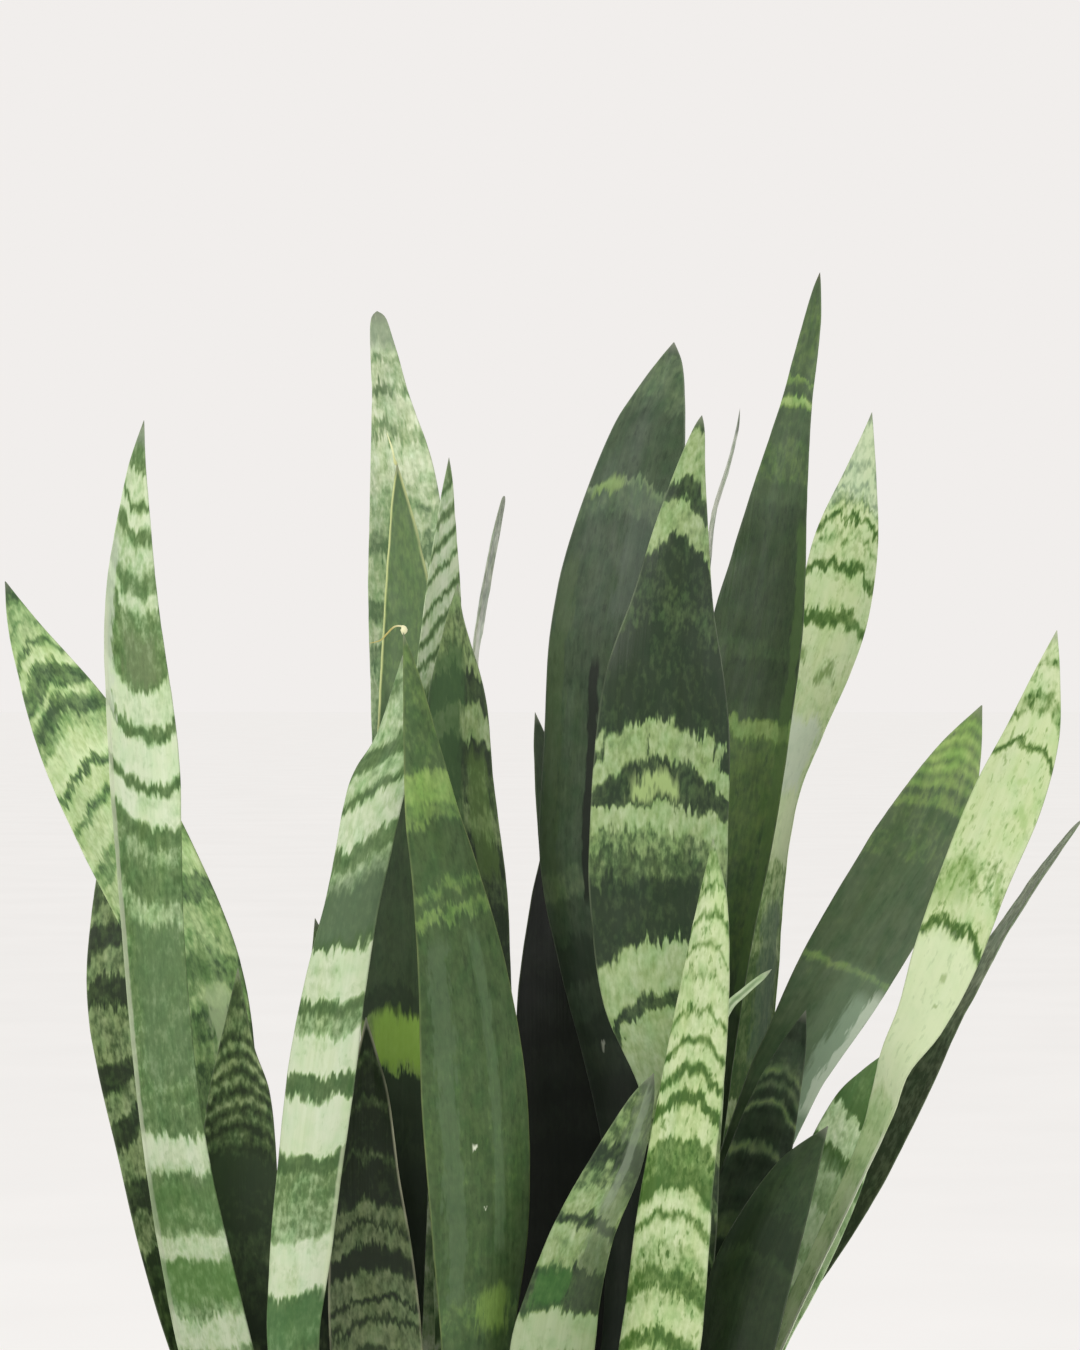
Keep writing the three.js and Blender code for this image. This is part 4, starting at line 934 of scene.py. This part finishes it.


# How each leaf looks in the picture. Its rows tell from which pixel row of the picture, on the leaf's
# middle line, it has which paleness, from 0 to 1. Its marks, some of them painted shadow, shade, sheen
# and highlights, are (share across, width in millimetres, from and to a pixel row, shade, strength), and
# its painted shade low down is (from and to a pixel row, strength).
LEAVES = {
    "leaf_left_tall": dict(
        slot="leaf_pale", skin="silver", lift=1.25, waver=9, ragged=0.8, painted_shade=(900, 1500, 0.35),
        arch={420: -8, 700: -13, 900: -9, 1100: -2}, slant={420: 12, 900: 10, 1100: 5},
        # The pale strips along the left margin, cbd8bf and c8d0b4, are painted highlights.
        marks_and_painted_light=[(0, 40, 405, 448, "8a9484", 0.6), (-0.9, 7, 560, 740, "cbd8bf", 0.65),
            (0.2, 19, 636, 684, "76835e", 0.5), (-0.95, 3, 640, 1340, "c8d0b4", 0.55),
            (0.15, 24, 925, 1085, "5f7a52", 0.5), (0.1, 50, 1260, 1306, "5b8f3c", 0.45),
            (0.1, 50, 1186, 1232, "5b8543", 0.35)],
        rows={420: 0.4, 450: 0.35, 478: 0.85, 503: 0.25, 512: 0.9, 529: 0.25, 543: 0.75, 572: 0.34,
            596: 0.85, 612: 0.42, 655: 0.34, 690: 0.9, 727: 0.2, 742: 0.97, 784: 0.2, 796: 0.92,
            828: 0.25, 850: 0.46, 870: 0.28, 905: 0.64, 925: 0.32, 1000: 0.34, 1060: 0.38, 1092: 0.28,
            1138: 0.9, 1174: 0.3, 1215: 0.44, 1238: 0.86, 1262: 0.36, 1300: 0.56, 1320: 0.9, 1350: 0.5},
    ),
    "leaf_far_left": dict(
        slot="leaf_green", skin="grey_green", arch=10, lift=1.4, ragged=0.8,
        marks_and_painted_light=[(0.1, 16, 955, 985, "4d6e3e", 0.5), (0.4, 12, 990, 1075, "b6cb9c", 0.7)],
        rows={581: 0.2, 598: 0.5, 616: 0.38, 622: 0.68, 640: 0.3, 648: 0.8, 661: 0.22, 688: 0.68,
            697: 0.2, 716: 0.5, 728: 0.8, 750: 0.95, 757: 0.2, 768: 0.75, 790: 0.3, 798: 0.76, 830: 0.42,
            850: 0.68, 880: 0.25, 905: 0.5, 955: 0.34, 990: 0.5, 1010: 0.25, 1040: 0.42, 1060: 0.25,
            1100: 0.4, 1130: 0.3},
    ),
    "leaf_left_low": dict(
        slot="leaf_green", skin="purplish", arch=5, broken=0.6, lift=1.25,
        rows={745: 0.4, 840: 0.4, 860: 0.62, 880: 0.28, 900: 0.5, 922: 0.16, 946: 0.56, 973: 0.14,
            1000: 0.6, 1045: 0.5, 1055: 0.1, 1080: 0.56, 1106: 0.16, 1135: 0.6, 1168: 0.16, 1200: 0.54,
            1240: 0.12},
    ),
    "leaf_left_small": dict(
        slot="leaf_dark", skin="purplish", arch=9, ragged=0.5, waver=7, broken=0.5,
        painted_shade=(1120, 1340, 0.4), lift=1.3, marks_and_painted_light=[(0, 60, 1150, 1350, "33482a", 0.35)],
        rows={968: 0.35, 1006: 0.46, 1030: 0.22, 1040: 0.62, 1050: 0.22, 1058: 0.62, 1067: 0.2,
            1076: 0.56, 1085: 0.18, 1094: 0.5, 1103: 0.16, 1112: 0.44, 1122: 0.14, 1132: 0.36, 1144: 0.12,
            1160: 0.06},
    ),
    "leaf_banded_left": dict(
        slot="leaf_pale", skin="silver", arch=-2, ragged=0.8, lift=0.92,
        slant={655: -15, 870: -12, 960: -6, 1350: -6},
        marks_and_painted_light=[(0.96, 2.2, 1150, 1300, "c0cba8", 0.5), (0.1, 40, 876, 945, "52634e", 0.5),
            (0, 60, 1299, 1352, "3f6b38", 0.5)], painted_shade=(1250, 1600, 0.3),
        rows={655: 0.5, 700: 0.64, 742: 0.18, 766: 0.7, 790: 0.2, 800: 0.88, 842: 0.24, 868: 0.54,
            892: 0.14, 952: 0.94, 1001: 0.15, 1012: 0.5, 1036: 0.96, 1077: 0.12, 1099: 1, 1154: 0.12,
            1170: 0.45, 1205: 0.52, 1240: 0.94, 1296: 0.18, 1320: 0.35, 1350: 0.3},
    ),
    "leaf_tip_behind": dict(
        slot="leaf_green", skin="green", painted_shade=(960, 1080, 0.75), rows={918: 0.3, 1000: 0.35},
    ),
    "leaf_small_chevron": dict(
        slot="leaf_green", skin="purplish", arch=7, ragged=0.8, margin=0.9, margin_width=1.4,
        margin_colour="d0d2b0",
        rows={1017: 0.1, 1050: 0.3, 1060: 0.1, 1095: 0.34, 1105: 0.1, 1150: 0.34, 1160: 0.1, 1203: 0.6,
            1221: 0.2, 1228: 0.62, 1247: 0.06, 1272: 0.6, 1297: 0.12, 1303: 0.62, 1318: 0.25, 1326: 0.64,
            1350: 0.3},
    ),
    "leaf_plain_left_back": dict(
        slot="leaf_dark", skin="deep", painted_shade=(1070, 1180, 0.7),
        marks_and_painted_light=[(0.1, 30, 1012, 1066, "7fa33c", 0.75)],
        rows={760: 0.2, 900: 0.25, 985: 0.12, 1012: 0.75, 1072: 0.06},
    ),
    "leaf_tall_blunt": dict(
        slot="leaf_pale", skin="soft", arch=3, ragged=1.2, tip="6f7568", lift=1.45, broken=0.75,
        marks_and_painted_light=[(0, 60, 300, 346, "8d9984", 0.7), (-0.5, 7, 352, 362, "56704a", 0.5),
            (-0.5, 9, 382, 394, "4c6540", 0.65), (-0.5, 10, 422, 436, "5c7650", 0.5)],
        rows={313: 0.4, 348: 0.6, 355: 0.4, 364: 0.64, 382: 0.38, 394: 0.66, 424: 0.36, 440: 0.64,
            478: 0.45, 500: 0.36, 538: 0.12, 556: 0.46, 596: 0.1, 616: 0.44, 645: 0.25, 668: 0.45,
            700: 0.36},
    ),
    "leaf_tall_dark_inner": dict(
        slot="leaf_dark", skin="olive", margin=0.9, margin_width=1.7, margin_colour="c9d092", lift=1.35,
        marks_and_painted_light=[(0.1, 26, 480, 700, "647a58", 0.35), (-0.98, 1.6, 470, 700, "c6d28c", 0.75)],
        rows={463: 0.3, 500: 0.42, 600: 0.4, 680: 0.32},
    ),
    "leaf_slim_banded": dict(
        slot="leaf_pale", skin="silver", arch=0, slant=-13, ragged=0.5, waver=8, lift=1.02,
        rows={457: 0.5, 480: 0.25, 488: 0.85, 507: 0.25, 517: 0.88, 535: 0.22, 544: 0.9, 562: 0.28,
            568: 0.92, 592: 0.22, 600: 0.88, 618: 0.2, 627: 0.86, 645: 0.2, 654: 0.8, 676: 0.25},
    ),
    "leaf_folded": dict(
        slot="leaf_green", skin="green", arch=5, painted_shade=(930, 1060, 0.6), lift=0.74,
        # The dark left half, 34502b, is painted shade on the far side of the leaf's fold.
        marks_and_painted_light=[(-0.42, 19, 650, 1000, "34502b", 0.8), (0.5, 14, 750, 870, "5d7a38", 0.4)],
        rows={583: 0.55, 640: 0.5, 655: 0.66, 672: 0.2, 704: 0.7, 737: 0.12, 765: 0.34, 804: 0.6,
            838: 0.14, 870: 0.28, 900: 0.14},
    ),
    "leaf_front_dark": dict(
        slot="leaf_dark", skin="olive", arch=4, margin=0.4, margin_colour="8f9a5f",
        painted_shade=(1330, 1600, 0.4), lift=1.3,
        marks_and_painted_light=[(-0.55, 9, 930, 1300, "5a7052", 0.35), (0.35, 5, 930, 1240, "5f7856", 0.3),
            (-0.1, 2.2, 1137, 1142, "d5dcc4", 0.9), (0.05, 1.4, 1198, 1201, "c9d2b8", 0.7),
            (0.3, 14, 1286, 1326, "86a84e", 0.5)],
        rows={632: 0.46, 700: 0.4, 768: 0.7, 800: 0.54, 816: 0.3, 876: 0.48, 886: 0.34, 900: 0.54,
            914: 0.3, 960: 0.28, 1040: 0.34, 1180: 0.3, 1285: 0.36, 1295: 0.42, 1322: 0.34},
    ),
    "leaf_thin_edge_on": dict(
        # Its lift of 1.3 brightens it against the shade it gets standing edge-on: painted light.
        slot="leaf_pale", skin="edge", lift=1.3,
        rows={496: 0.35, 530: 0.5, 575: 0.45, 620: 0.75, 650: 0.8},
    ),
    "leaf_centre_dark": dict(
        slot="leaf_dark", skin="slate", arch=4, ragged=0.8, margin=0.5, margin_colour="8f9a84",
        painted_shade=(900, 1090, 0.8), lift=1.2,
        # The grey patch 69736b is painted sheen, and the dark strip 151c14 is a painted shadow where the leaf
        # beside it overlaps.
        marks_and_painted_light=[(0.35, 18, 490, 620, "69736b", 0.22), (-0.12, 5, 663, 900, "151c14", 0.9),
            (-0.8, 9, 560, 900, "50633a", 0.3), (-0.35, 2, 1036, 1041, "cfd6c0", 0.9),
            (-0.5, 14, 484, 497, "7f9a50", 0.5)],
        rows={342: 0.3, 352: 0.46, 396: 0.4, 410: 0.28, 480: 0.3, 485: 0.62, 492: 0.42, 520: 0.25,
            690: 0.31, 866: 0.46, 895: 0.25},
    ),
    # This leaf's near-black skin is painted shade: it stands in the dark gap behind the front leaves.
    "leaf_shadow_gap": dict(slot="leaf_dark", skin="shade", lift=1.25, rows={800: 0.1}),
    "leaf_centre_sliver": dict(slot="leaf_dark", skin="deep", painted_shade=(790, 920, 0.8), rows={712: 0.15}),
    "leaf_centre_banded": dict(
        slot="leaf_green", skin="green", slant=3, ragged=1.1, broken=0.18, faint_rows=0.16, margin=0.35,
        margin_colour="9aa888",
        arch={415: 11, 700: 9, 745: 12, 758: 24, 796: 22, 806: 6, 870: 7, 930: 15, 1000: 24},
        marks_and_painted_light=[(-0.12, 22, 771, 794, "9bb271", 0.85)],
        rows={415: 0.35, 430: 0.74, 478: 0.18, 502: 0.7, 540: 0.14, 590: 0.2, 625: 0.1, 722: 0.74,
            756: 0.18, 802: 0.8, 828: 0.5, 850: 0.34, 876: 0.1, 934: 0.82, 986: 0.2, 1002: 0.82,
            1080: 0.5},
    ),
    "leaf_thin_curved": dict(slot="leaf_pale", skin="edge", rows={410: 0.3, 430: 0.75, 520: 0.6}),
    "leaf_front_pale": dict(
        slot="leaf_pale", skin="lime", arch=13, slant=-4, humps=0.8, ragged=0.7, waver=12, dashes=0.35,
        painted_shade=(1350, 1600, 0.3),
        rows={838: 0.55, 878: 0.42, 884: 0.92, 905: 0.38, 914: 0.9, 937: 0.38, 944: 0.9, 965: 0.6,
            972: 0.88, 1000: 0.4, 1009: 0.9, 1035: 0.2, 1044: 0.9, 1064: 0.16, 1074: 0.85, 1088: 0.1,
            1102: 0.86, 1130: 0.26, 1160: 0.1, 1184: 0.68, 1192: 0.88, 1207: 0.26, 1216: 0.82, 1240: 0.58,
            1265: 0.2, 1284: 0.72, 1296: 0.88, 1324: 0.2, 1342: 0.7},
    ),
    "leaf_tallest": dict(
        slot="leaf_dark", skin="deep", arch=3, ragged=0.7, tip="5a5246", lift=1.35, broken=0.16,
        marks_and_painted_light=[(0.86, 6, 520, 1000, "4c6a33", 0.6)],
        rows={272: 0.3, 300: 0.42, 372: 0.3, 376: 0.66, 382: 0.34, 391: 0.3, 395: 0.85, 405: 0.34,
            440: 0.42, 480: 0.3, 500: 0.2, 640: 0.34, 655: 0.2, 700: 0.3, 714: 0.78, 734: 0.5, 860: 0.44,
            960: 0.3},
    ),
    "leaf_back_pale": dict(
        slot="leaf_pale", skin="lime", arch=5, humps=2, ragged=0.9, waver=14, dashes=0.2, tip="6a6a62",
        lift=1.08, mottle={412: 0.2, 520: 0.15, 600: 0.05},
        # The whitish streak c6d0c2 is a painted glare, and the dark strip 56715a low on the right is painted
        # shade in the channel.
        marks_and_painted_light=[(0, 70, 400, 500, "c8d6c4", 0.35), (0.1, 22, 715, 790, "c6d0c2", 0.65),
            (0.4, 16, 905, 1060, "56715a", 0.55), (0, 60, 795, 860, "cfdcb4", 0.5),
            (-0.6, 7, 655, 668, "6c8747", 0.8), (0.3, 8, 665, 680, "6c8747", 0.8)],
        rows={412: 0.5, 430: 0.85, 461: 0.4, 470: 0.88, 485: 0.38, 492: 0.84, 497: 0.4, 504: 0.9,
            514: 0.16, 522: 0.9, 534: 0.5, 541: 0.9, 562: 0.14, 571: 0.94, 608: 0.2, 624: 0.92, 790: 0.94,
            862: 0.55, 905: 0.4, 940: 0.62, 950: 0.22, 1030: 0.2},
    ),
    "leaf_small_pale_tip": dict(
        slot="leaf_pale", skin="silver", marks_and_painted_light=[(0, 1.6, 978, 1120, "5d7a4c", 0.7)],
        rows={969: 0.8, 990: 0.88},
    ),
    "leaf_right_dark": dict(
        slot="leaf_dark", skin="bright_deep", slant=-2, ragged=0.3, waver=5,
        arch={705: 7, 860: 7, 930: 2, 1000: 2}, lift=1.5,
        # The three pale marks on the lower right, 6f8668, 93aa90 and c0cdb8, are painted sheen where the
        # margin turns.
        marks_and_painted_light=[(0.45, 30, 960, 1150, "6f8668", 0.35), (0.72, 17, 985, 1150, "93aa90", 0.55),
            (0.95, 8, 975, 1100, "c0cdb8", 0.7)],
        rows={705: 0.55, 714: 0.5, 720: 0.7, 727: 0.54, 733: 0.75, 741: 0.56, 748: 0.75, 756: 0.54,
            762: 0.7, 770: 0.5, 777: 0.64, 786: 0.44, 795: 0.55, 806: 0.38, 860: 0.32, 959: 0.34,
            963: 0.52, 970: 0.34, 1000: 0.3},
    ),
    "leaf_right_pale": dict(
        slot="leaf_pale", skin="lime", arch=8, humps=1.8, ragged=0.55, waver=10,
        mottle={630: 0.1, 750: 0.1, 800: 0.16, 915: 0.2, 950: 0.07, 1080: 0.03}, dashes=0.35,
        tip="b4b8a8", painted_shade=(1350, 1600, 0.3),
        # The whitish wash d0dcb9 over the lower middle is a painted sheen.
        marks_and_painted_light=[(0, 60, 936, 1090, "d0dcb9", 0.55), (0.15, 3, 970, 979, "7a9454", 0.6),
            (0.3, 2.4, 1000, 1005, "7a9454", 0.6), (0.55, 7, 800, 811, "8fb068", 0.55),
            (0.2, 5, 775, 783, "9ab873", 0.5), (0.7, 5, 868, 880, "7f9f58", 0.55),
            (-0.45, 14, 862, 906, "7f9f58", 0.5), (0, 60, 1095, 1345, "a6c38e", 0.45),
            (0.94, 2.6, 1110, 1345, "dde4cc", 0.7)],
        rows={630: 0.8, 655: 0.5, 661: 0.92, 690: 0.55, 714: 0.98, 741: 0.1, 749: 1, 845: 0.9, 862: 0.66,
            890: 0.98, 922: 0.1, 933: 0.98, 1050: 0.94, 1085: 0.88, 1110: 0.7, 1130: 0.9, 1160: 0.6,
            1182: 0.88, 1210: 0.6, 1240: 0.94, 1268: 0.66, 1300: 0.97, 1328: 0.74, 1345: 0.94},
    ),
    "leaf_right_long_thin": dict(
        slot="leaf_dark", skin="edge_dark", rows={820: 0.45, 930: 0.5, 985: 0.3, 1030: 0.15, 1200: 0.1},
    ),
    "leaf_right_low_dark": dict(
        slot="leaf_dark", skin="deep", painted_shade=(1170, 1350, 0.55), lift=1.25, rows={1128: 0.18},
    ),
    "leaf_right_low_banded": dict(
        # Its lift of 1.6 brightens it against the shade of the leaves in front: painted light.
        slot="leaf_pale", skin="silver", arch=2, slant=5, lift=1.6, painted_shade=(1350, 1600, 0.3),
        marks_and_painted_light=[(0, 60, 1165, 1345, "9dbc8a", 0.45)],
        rows={1052: 0.1, 1116: 0.8, 1152: 0.12, 1172: 0.7, 1186: 0.5, 1212: 0.85, 1250: 0.5, 1262: 0.85,
            1290: 0.45, 1297: 0.95, 1322: 0.5, 1330: 0.95},
    ),
    "leaf_right_inner_banded": dict(
        slot="leaf_green", skin="slate", arch=8, ragged=0.35, waver=6, painted_shade=(1130, 1400, 0.4), lift=0.86,
        margin=0.15, broken=0.4,
        rows={1012: 0.2, 1040: 0.34, 1056: 0.46, 1066: 0.76, 1074: 0.26, 1081: 0.6, 1089: 0.22, 1100: 0.8,
            1107: 0.2, 1142: 0.7, 1152: 0.2, 1180: 0.3, 1215: 0.7, 1240: 0.2},
    ),
    "leaf_front_leaning": dict(
        slot="leaf_green", skin="green", arch=5,
        # The grey streaks 66735c and 8c9a84 are painted sheen, and the dark patch 35442c on the right is
        # painted shade in the channel.
        marks_and_painted_light=[(0.5, 13, 1078, 1235, "66735c", 0.5), (0.25, 4, 1090, 1200, "8c9a84", 0.45),
            (0.55, 17, 1232, 1300, "35442c", 0.6), (-0.45, 15, 1262, 1302, "3b7429", 0.5)],
        rows={1073: 0.25, 1095: 0.46, 1140: 0.16, 1165: 0.45, 1182: 0.74, 1214: 0.15, 1224: 0.75,
            1262: 0.25, 1305: 0.95, 1350: 0.6},
    ),
}

for seed, (name, look) in enumerate(LEAVES.items()):
    stations = stations_of(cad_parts[name])
    skin = leaf_skin(name.replace("leaf", "skin"), look, stations, seed)
    line = spine_mesh(name + "_line", stations)
    values = {"Seed": SEED_STEP * seed, "Material": skin, **BLADE_SHAPE}
    leaf = grown(name.replace("leaf", "blade"), line, blade, values)
    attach(leaf, "root")
    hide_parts(name)

# Withered tips
# Two leaves end in a thin awl that has dried and curled over: a straw yellow thread, on the front
# leaf with a pale bead of dried sap at its root. Each grows out of its own leaf's tip.
THREAD_SHAPE = {"Bead Share": 0.2, "Sides": 10, "Rings": 40, "Taper Start": 0.6, "End Share": 0.3}
ROOT_SUNK = -1.2
STRAW_START = 0.4
STRAW_BLOTCHES = (0.002, 0.002, 0.002)
BLOTCH_REACH = 0.2
STRAW_ROUGHNESS = 0.6
STRAW_RELIEF = 0.0002
THREADS = {
    "front_dark_thread": {
        "leaf": "leaf_front_dark", "root": 1.7, "thin": 0.42, "shades": ("dcdab0", "aca25c"),
        "route": [(0, ROOT_SUNK), (0.4, 1), (-0.6, 2.6), (-4, 2.4), (-7.4, -0.8), (-10.4, -3.8),
            (-15.6, -5.2)],
    },
    "inner_dark_thread": {
        "leaf": "leaf_tall_dark_inner", "root": 0.9, "thin": 0.5, "shades": ("c3c88c", "dde2ae"),
        "route": [(0, ROOT_SUNK), (-1.2, 1.2), (-2, 5.4), (-3, 9), (-5.2, 15.4)],
    },
}

withered = bpy.data.node_groups.new("withered thread", "GeometryNodeTree")
given = group_inputs(
    withered,
    Float=["Root Radius", "Thin Radius", "Bead Share", "Taper Start", "End Share"],
    Int=["Sides", "Rings"],
    Material=["Material"],
)
finely = {"Curve": smooth_line(given["Geometry"]), "Count": given["Rings"]}
thread = add(withered, "GeometryNodeResampleCurve", finely).outputs[0]
along = add(withered, "GeometryNodeSplineParameter", {}).outputs["Factor"]
past_bead = between(along, 0.0, given["Bead Share"])
thinned = minus(given["Root Radius"], given["Thin Radius"])
girth = total(given["Thin Radius"], times(maths("SINE", times(past_bead, math.pi)), thinned))
girth = times(girth, between(along, given["Taper Start"], 1.0, 1.0, given["End Share"]))
circle = {"Resolution": given["Sides"], "Radius": 1.0}
ring = add(withered, "GeometryNodeCurvePrimitiveCircle", circle).outputs[0]
skinned = {"Curve": noted(thread, "along", along), "Profile Curve": ring, "Scale": girth, "Fill Caps": True}
end_tree(shaded_smooth(add(withered, "GeometryNodeCurveToMesh", skinned).outputs[0]), given["Material"])

for name, thread in THREADS.items():
    root, straw = thread["shades"]
    dried, shader = new_material(name + "_straw")
    blotches = grain(object_place(shader), STRAW_BLOTCHES, 3)
    along = total(attribute(shader, "along", "Fac"), times(minus(blotches, 0.5), BLOTCH_REACH))
    fill(shader, {
        "Base Color": ramp(along, (THREAD_SHAPE["Bead Share"], root), (STRAW_START, straw)),
        "Roughness": STRAW_ROUGHNESS,
        "Normal": bump(blotches, STRAW_RELIEF),
    })
    tip = stations_of(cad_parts[thread["leaf"]])[0]["middle"]
    bends = [tip + Vector((aside * MM, thread["root"] * MM, up * MM)) for aside, up in thread["route"]]
    radii = {"Root Radius": thread["root"] * MM, "Thin Radius": thread["thin"] * MM}
    piece = grown(name, chain_mesh(name, bends), withered, {**radii, **THREAD_SHAPE, "Material": dried})
    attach(piece, "root")

# Floor and light
# A plain pale floor that reaches as far as any view looks, a pale even sky, and soft studio light
# from the left and a weaker one from the right.
FLOOR_REACH = 90.0
FLOOR_SIDES = 96
FLOOR_PATCHES = (0.4, 0.4, 0.4)
FLOOR_ROUGHNESS = 0.8
FLOOR_GLOW = 0.085
LIGHTS = {
    "window_light": ((-1.7, -1.9, 2.1), 1.6, 34, (1.0, 0.985, 0.96)),
    "fill_light": ((1.9, -1.2, 1.3), 1.4, 6, (0.96, 0.98, 1.0)),
}
LIT_PLACE = Vector((0.03, 0, 0.55))

shape = bmesh.new()
bmesh.ops.create_circle(shape, cap_ends=True, segments=FLOOR_SIDES, radius=FLOOR_REACH)
studio_floor = finished_object("studio_floor", shape)
floor_paint, shader = new_material("pale_floor")
fill(shader, {
    "Base Color": ramp(grain(object_place(shader), FLOOR_PATCHES, 3), (0.3, "f2f2f1"), (0.7, "f5f5f4")),
    "Roughness": FLOOR_ROUGHNESS,
    "Specular IOR Level": 0.0,
    "Emission Color": paint("efeeed"),
    "Emission Strength": FLOOR_GLOW,
})
studio_floor.data.materials.append(floor_paint)

sky = bpy.data.worlds.new("pale_studio")
sky.use_nodes = True
fill(sky.node_tree.nodes["Background"], {"Color": paint("f1eeec"), "Strength": 1.0})
bpy.context.scene.world = sky
bpy.context.scene.view_settings.view_transform = "Standard"

for name, (place, size, power, colour) in LIGHTS.items():
    lamp = bpy.data.lights.new(name, "AREA")
    lamp.shape = "DISK"
    lamp.size = size
    lamp.energy = power
    lamp.color = colour
    light = bpy.data.objects.new(name, lamp)
    light.location = place
    light.rotation_euler = (LIT_PLACE - Vector(place)).to_track_quat("-Z", "Y").to_euler()
    light.visible_camera = False
    bpy.context.scene.collection.objects.link(light)

# Camera
# It looks level at the upper part of the leaves, so that the picture's lower edge cuts them off
# above the pot.
CAMERA_ASIDE = 0.030
SENSOR = 36.0
FARTHEST_SEEN = 200.0

lens = bpy.data.cameras.new("camera")
lens.sensor_width = SENSOR
lens.lens = SENSOR * CAMERA_DISTANCE / (PICTURE_HEIGHT * METRES_PER_PIXEL)
lens.clip_end = FARTHEST_SEEN
camera = bpy.data.objects.new("camera", lens)
camera.location = (CAMERA_ASIDE, -CAMERA_DISTANCE, CAMERA_HEIGHT)
camera.rotation_euler = (math.radians(90), 0, 0)
bpy.context.scene.collection.objects.link(camera)
bpy.context.scene.camera = camera
